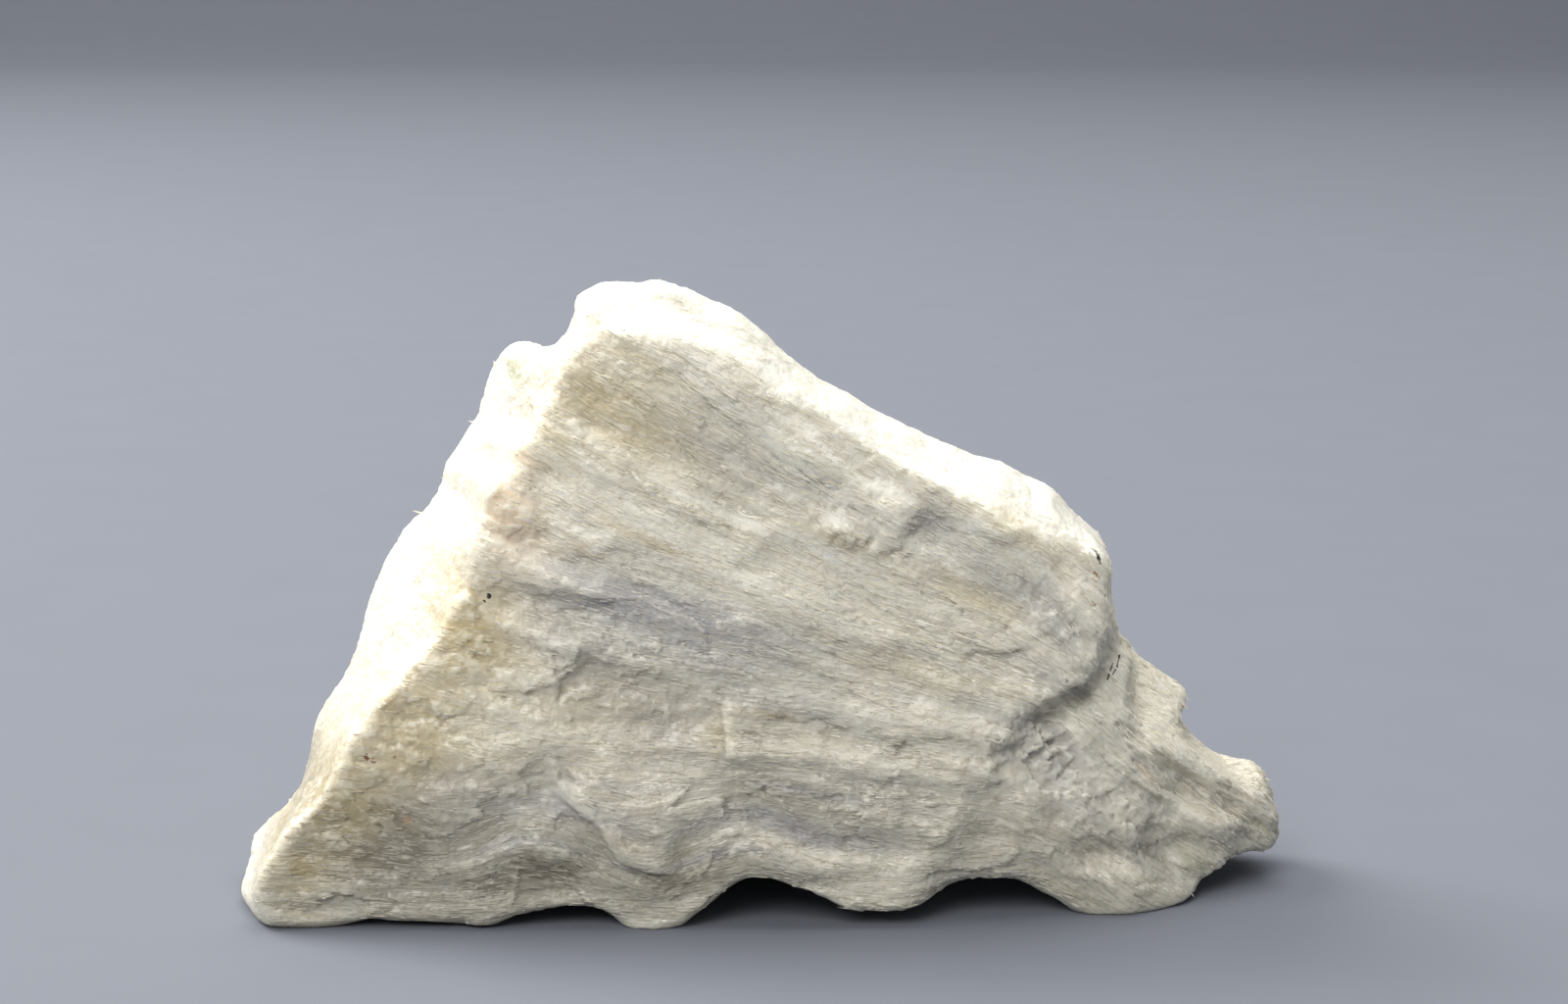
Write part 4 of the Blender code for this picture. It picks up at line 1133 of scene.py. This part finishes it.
def floor_material(colour):
    """A plain pale matt floor with a faint unevenness."""
    material = bpy.data.materials.new("pale_floor")
    material.use_nodes = True
    tree = material.node_tree
    surface = tree.nodes["Principled BSDF"]
    mottle = noise(tree, wire(tree, "ShaderNodeTexCoord", output="Object"), FLOOR_MOTTLE, 1.0)
    darker = tuple(FLOOR_DARKEST * value for value in colour[:3]) + (1.0,)
    tree.links.new(blend_colours(tree, mottle, tuple(colour), darker), surface.inputs["Base Color"])
    surface.inputs["Roughness"].default_value = FLOOR_ROUGHNESS
    return material


# Operators


def smooth_blank(shape):
    """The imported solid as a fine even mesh, without its facets."""
    stone = merged_copy(frame["nodes"][NODE], "stone_blank")
    grid = stone.modifiers.new("grid", "REMESH")
    grid.mode = "VOXEL"
    grid.voxel_size = shape.voxel
    soften = stone.modifiers.new("soften", "SMOOTH")
    soften.factor = 0.5
    soften.iterations = shape.soften
    return baked(stone, "stone_smooth")


def setting_name(label):
    """The name in the settings of what a node group's input is called."""
    return label.lower().replace(" ", "_")


def thin_out(obj, faces):
    """Thins a mesh of squares to about so many triangles."""
    thin = obj.modifiers.new("thin", "DECIMATE")
    thin.ratio = min(1.0, faces / (2.0 * len(obj.data.polygons)))


class SPECIMEN_OT_make_stone(bpy.types.Operator):
    """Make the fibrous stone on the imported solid"""

    bl_idname = "specimen.make_stone"
    bl_label = "Make stone"

    def execute(self, context):
        shape = context.scene.specimen_stone
        stone = smooth_blank(shape)
        describe_break(stone.data, shape)
        raise_sheet_ends(stone.data)
        material = stone_material(shape)
        stone.data.materials.clear()
        stone.data.materials.append(material)
        use_group(stone, fibrous_relief(), {
            "Material": material, **{name: getattr(shape, setting_name(name)) for name in RELIEF_NUMBERS}})
        thin_out(stone, shape.faces)
        stone = baked(stone, STONE)
        find_hollows(stone.data)
        stone.data.shade_smooth()
        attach(stone, "root")
        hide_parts(NODE)
        return {"FINISHED"}


def vertex_areas(mesh):
    """The share of the surface that belongs to each vertex, in square metres."""
    corners = np.empty(len(mesh.loops), np.int32)
    mesh.loops.foreach_get("vertex_index", corners)
    sizes = np.empty(len(mesh.polygons), np.float32)
    mesh.polygons.foreach_get("area", sizes)
    totals = np.empty(len(mesh.polygons), np.int32)
    mesh.polygons.foreach_get("loop_total", totals)
    return np.bincount(corners, np.repeat(sizes / totals, totals), len(mesh.vertices))


def region_share(x, z, normals, region):
    """How far each point belongs to a region, 0 to 1. The left face and the underside belong to none."""
    front = facing(normals, FRONT, *SIDE_FACE)
    back = facing(normals, BACK, *SIDE_FACE)
    high = z > REGION_HEIGHT - REGION_FALL * x
    if region == "front_high":
        return front * high
    if region == "front_low":
        return front * ~high
    if region == "back":
        return back * (normals[:, 0] > BACK_TURN)
    ends = np.clip(1.0 - front - back, 0.0, 1.0)
    return ends * (normals[:, 2] > ENDS_BELOW) * (normals[:, 0] > ENDS_TURN)


def splinter_cover(mesh, region):
    """How thickly the splinters of one region lie at each vertex, 0 to 1."""
    points, normals = read_surface(mesh)
    x, _, z = points.T / MM
    few = 1.0 - SPLINTERS_LOST * np.minimum(read_values(mesh, "compact"), 1.0)
    bare = few * (1.0 - read_values(mesh, "calm"))
    return region_share(x, z, normals, region) * bare * (z > SPLINTER_FOOT)


class SPECIMEN_OT_grow_splinters(bpy.types.Operator):
    """Lay the fine splinters on the stone, region by region"""

    bl_idname = "specimen.grow_splinters"
    bl_label = "Grow splinters"

    def execute(self, context):
        sizes = context.scene.specimen_splinters
        mesh = bpy.data.objects[STONE].data
        areas = vertex_areas(mesh)
        shapes = splinter_shapes()
        tree = lay_splinters()
        material = splinter_material(context.scene.specimen_stone)
        for number, region in enumerate(SPLINTER_REGIONS):
            cover = splinter_cover(mesh, region)
            bed = new_object(f"bed_{region}", mesh.copy())
            store(bed.data, "cover", cover)
            use_group(bed, tree, {
                "Shapes": shapes, "Density": sizes.count / (cover * areas).sum(), "Length": sizes.length,
                "Width": sizes.width, "Thickness": sizes.thickness, "Seed": sizes.seed + number,
                "Material": material})
            piece = baked(bed, f"splinters_{region}")
            if len(piece.data.polygons) < FEWEST_FACES:
                raise RuntimeError(f"too few splinters on {region}")
            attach(piece, "root")
        for shape in list(shapes.objects):
            bpy.data.objects.remove(shape)
        bpy.data.collections.remove(shapes)
        return {"FINISHED"}


class SPECIMEN_OT_set_stage(bpy.types.Operator):
    """Set the floor, the lights and the camera"""

    bl_idname = "specimen.set_stage"
    bl_label = "Set stage"

    def execute(self, context):
        stage = context.scene.specimen_stage
        make_floor(stage.floor)
        make_lights(stage)
        make_camera(stage)
        context.scene.view_settings.view_transform = "Standard"
        return {"FINISHED"}


def make_floor(colour):
    """A floor that sweeps up into a backdrop far behind."""
    profile = [(-FLOOR_HALF_WIDTH, 0.0), (FLOOR_BACK - FLOOR_BEND, 0.0)]
    for i in range(1, FLOOR_BEND_STEPS + 1):
        turn = math.pi / 2 * i / FLOOR_BEND_STEPS
        profile.append((FLOOR_BACK - FLOOR_BEND + FLOOR_BEND * math.sin(turn),
                        FLOOR_BEND - FLOOR_BEND * math.cos(turn)))
    profile.append((FLOOR_BACK, FLOOR_RISE))
    shape = bmesh.new()
    left = [shape.verts.new((-FLOOR_HALF_WIDTH, y, z)) for y, z in profile]
    right = [shape.verts.new((FLOOR_HALF_WIDTH, y, z)) for y, z in profile]
    for i in range(len(profile) - 1):
        shape.faces.new((left[i], right[i], right[i + 1], left[i + 1]))
    mesh = bpy.data.meshes.new("floor")
    shape.to_mesh(mesh)
    shape.free()
    mesh.shade_smooth()
    mesh.materials.append(floor_material(colour))
    new_object("floor", mesh)


def aimed(location, target):
    """The matrix of something at location that looks at target."""
    way = Vector(target) - Vector(location)
    return Matrix.Translation(location) @ way.to_track_quat("-Z", "Y").to_matrix().to_4x4()


def make_light(name, power, location, size, colour):
    """A square area light that points at the stone."""
    light = bpy.data.lights.new(name, "AREA")
    light.shape = "SQUARE"
    light.size = size
    light.energy = power
    light.color = colour
    obj = new_object(name, light)
    obj.matrix_world = aimed(location, (0.0, 0.0, 0.5 * HIGH.z))


def make_lights(stage):
    """Three soft lights and an even sky."""
    make_light("window", stage.key, *WINDOW)
    make_light("overhead", stage.overhead, *OVERHEAD)
    make_light("card", stage.fill, *CARD)
    sky = bpy.data.worlds.new("studio")
    sky.use_nodes = True
    backdrop = sky.node_tree.nodes["Background"]
    backdrop.inputs["Color"].default_value = SKY_COLOUR
    backdrop.inputs["Strength"].default_value = stage.sky
    bpy.context.scene.world = sky


def make_camera(stage):
    """A camera in front of the main face, a little above it."""
    target = Vector(CAMERA_TARGET) * MM
    back = Vector((0.0, -math.cos(stage.elevation), math.sin(stage.elevation)))
    data = bpy.data.cameras.new("camera")
    data.sensor_width = SENSOR_WIDTH
    data.lens = stage.lens
    camera = new_object("camera", data)
    camera.matrix_world = aimed(target + back * stage.distance, target)
    bpy.context.scene.camera = camera


class SPECIMEN_PT_panel(bpy.types.Panel):
    """The specimen's operators and settings"""

    bl_label = "Wollastonite specimen"
    bl_space_type = "VIEW_3D"
    bl_region_type = "UI"
    bl_category = "Specimen"

    def draw(self, context):
        for operator, settings in ((SPECIMEN_OT_make_stone, context.scene.specimen_stone),
                                   (SPECIMEN_OT_grow_splinters, context.scene.specimen_splinters),
                                   (SPECIMEN_OT_set_stage, context.scene.specimen_stage)):
            box = self.layout.box()
            box.operator(operator.bl_idname)
            for name in settings.__annotations__:
                box.prop(settings, name)


CLASSES = (StoneSettings, SplinterSettings, StageSettings, SPECIMEN_OT_make_stone, SPECIMEN_OT_grow_splinters,
           SPECIMEN_OT_set_stage, SPECIMEN_PT_panel)


def register():
    """Makes the settings, the operators and the panel known."""
    for kind in CLASSES:
        bpy.utils.register_class(kind)
    bpy.types.Scene.specimen_stone = PointerProperty(type=StoneSettings)
    bpy.types.Scene.specimen_splinters = PointerProperty(type=SplinterSettings)
    bpy.types.Scene.specimen_stage = PointerProperty(type=StageSettings)


def unregister():
    """Takes them away again."""
    del bpy.types.Scene.specimen_stage
    del bpy.types.Scene.specimen_splinters
    del bpy.types.Scene.specimen_stone
    for kind in reversed(CLASSES):
        bpy.utils.unregister_class(kind)


def main():
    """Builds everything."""
    register()
    bpy.ops.specimen.make_stone()
    bpy.ops.specimen.grow_splinters()
    bpy.ops.specimen.set_stage()


if __name__ == "__main__":
    main()
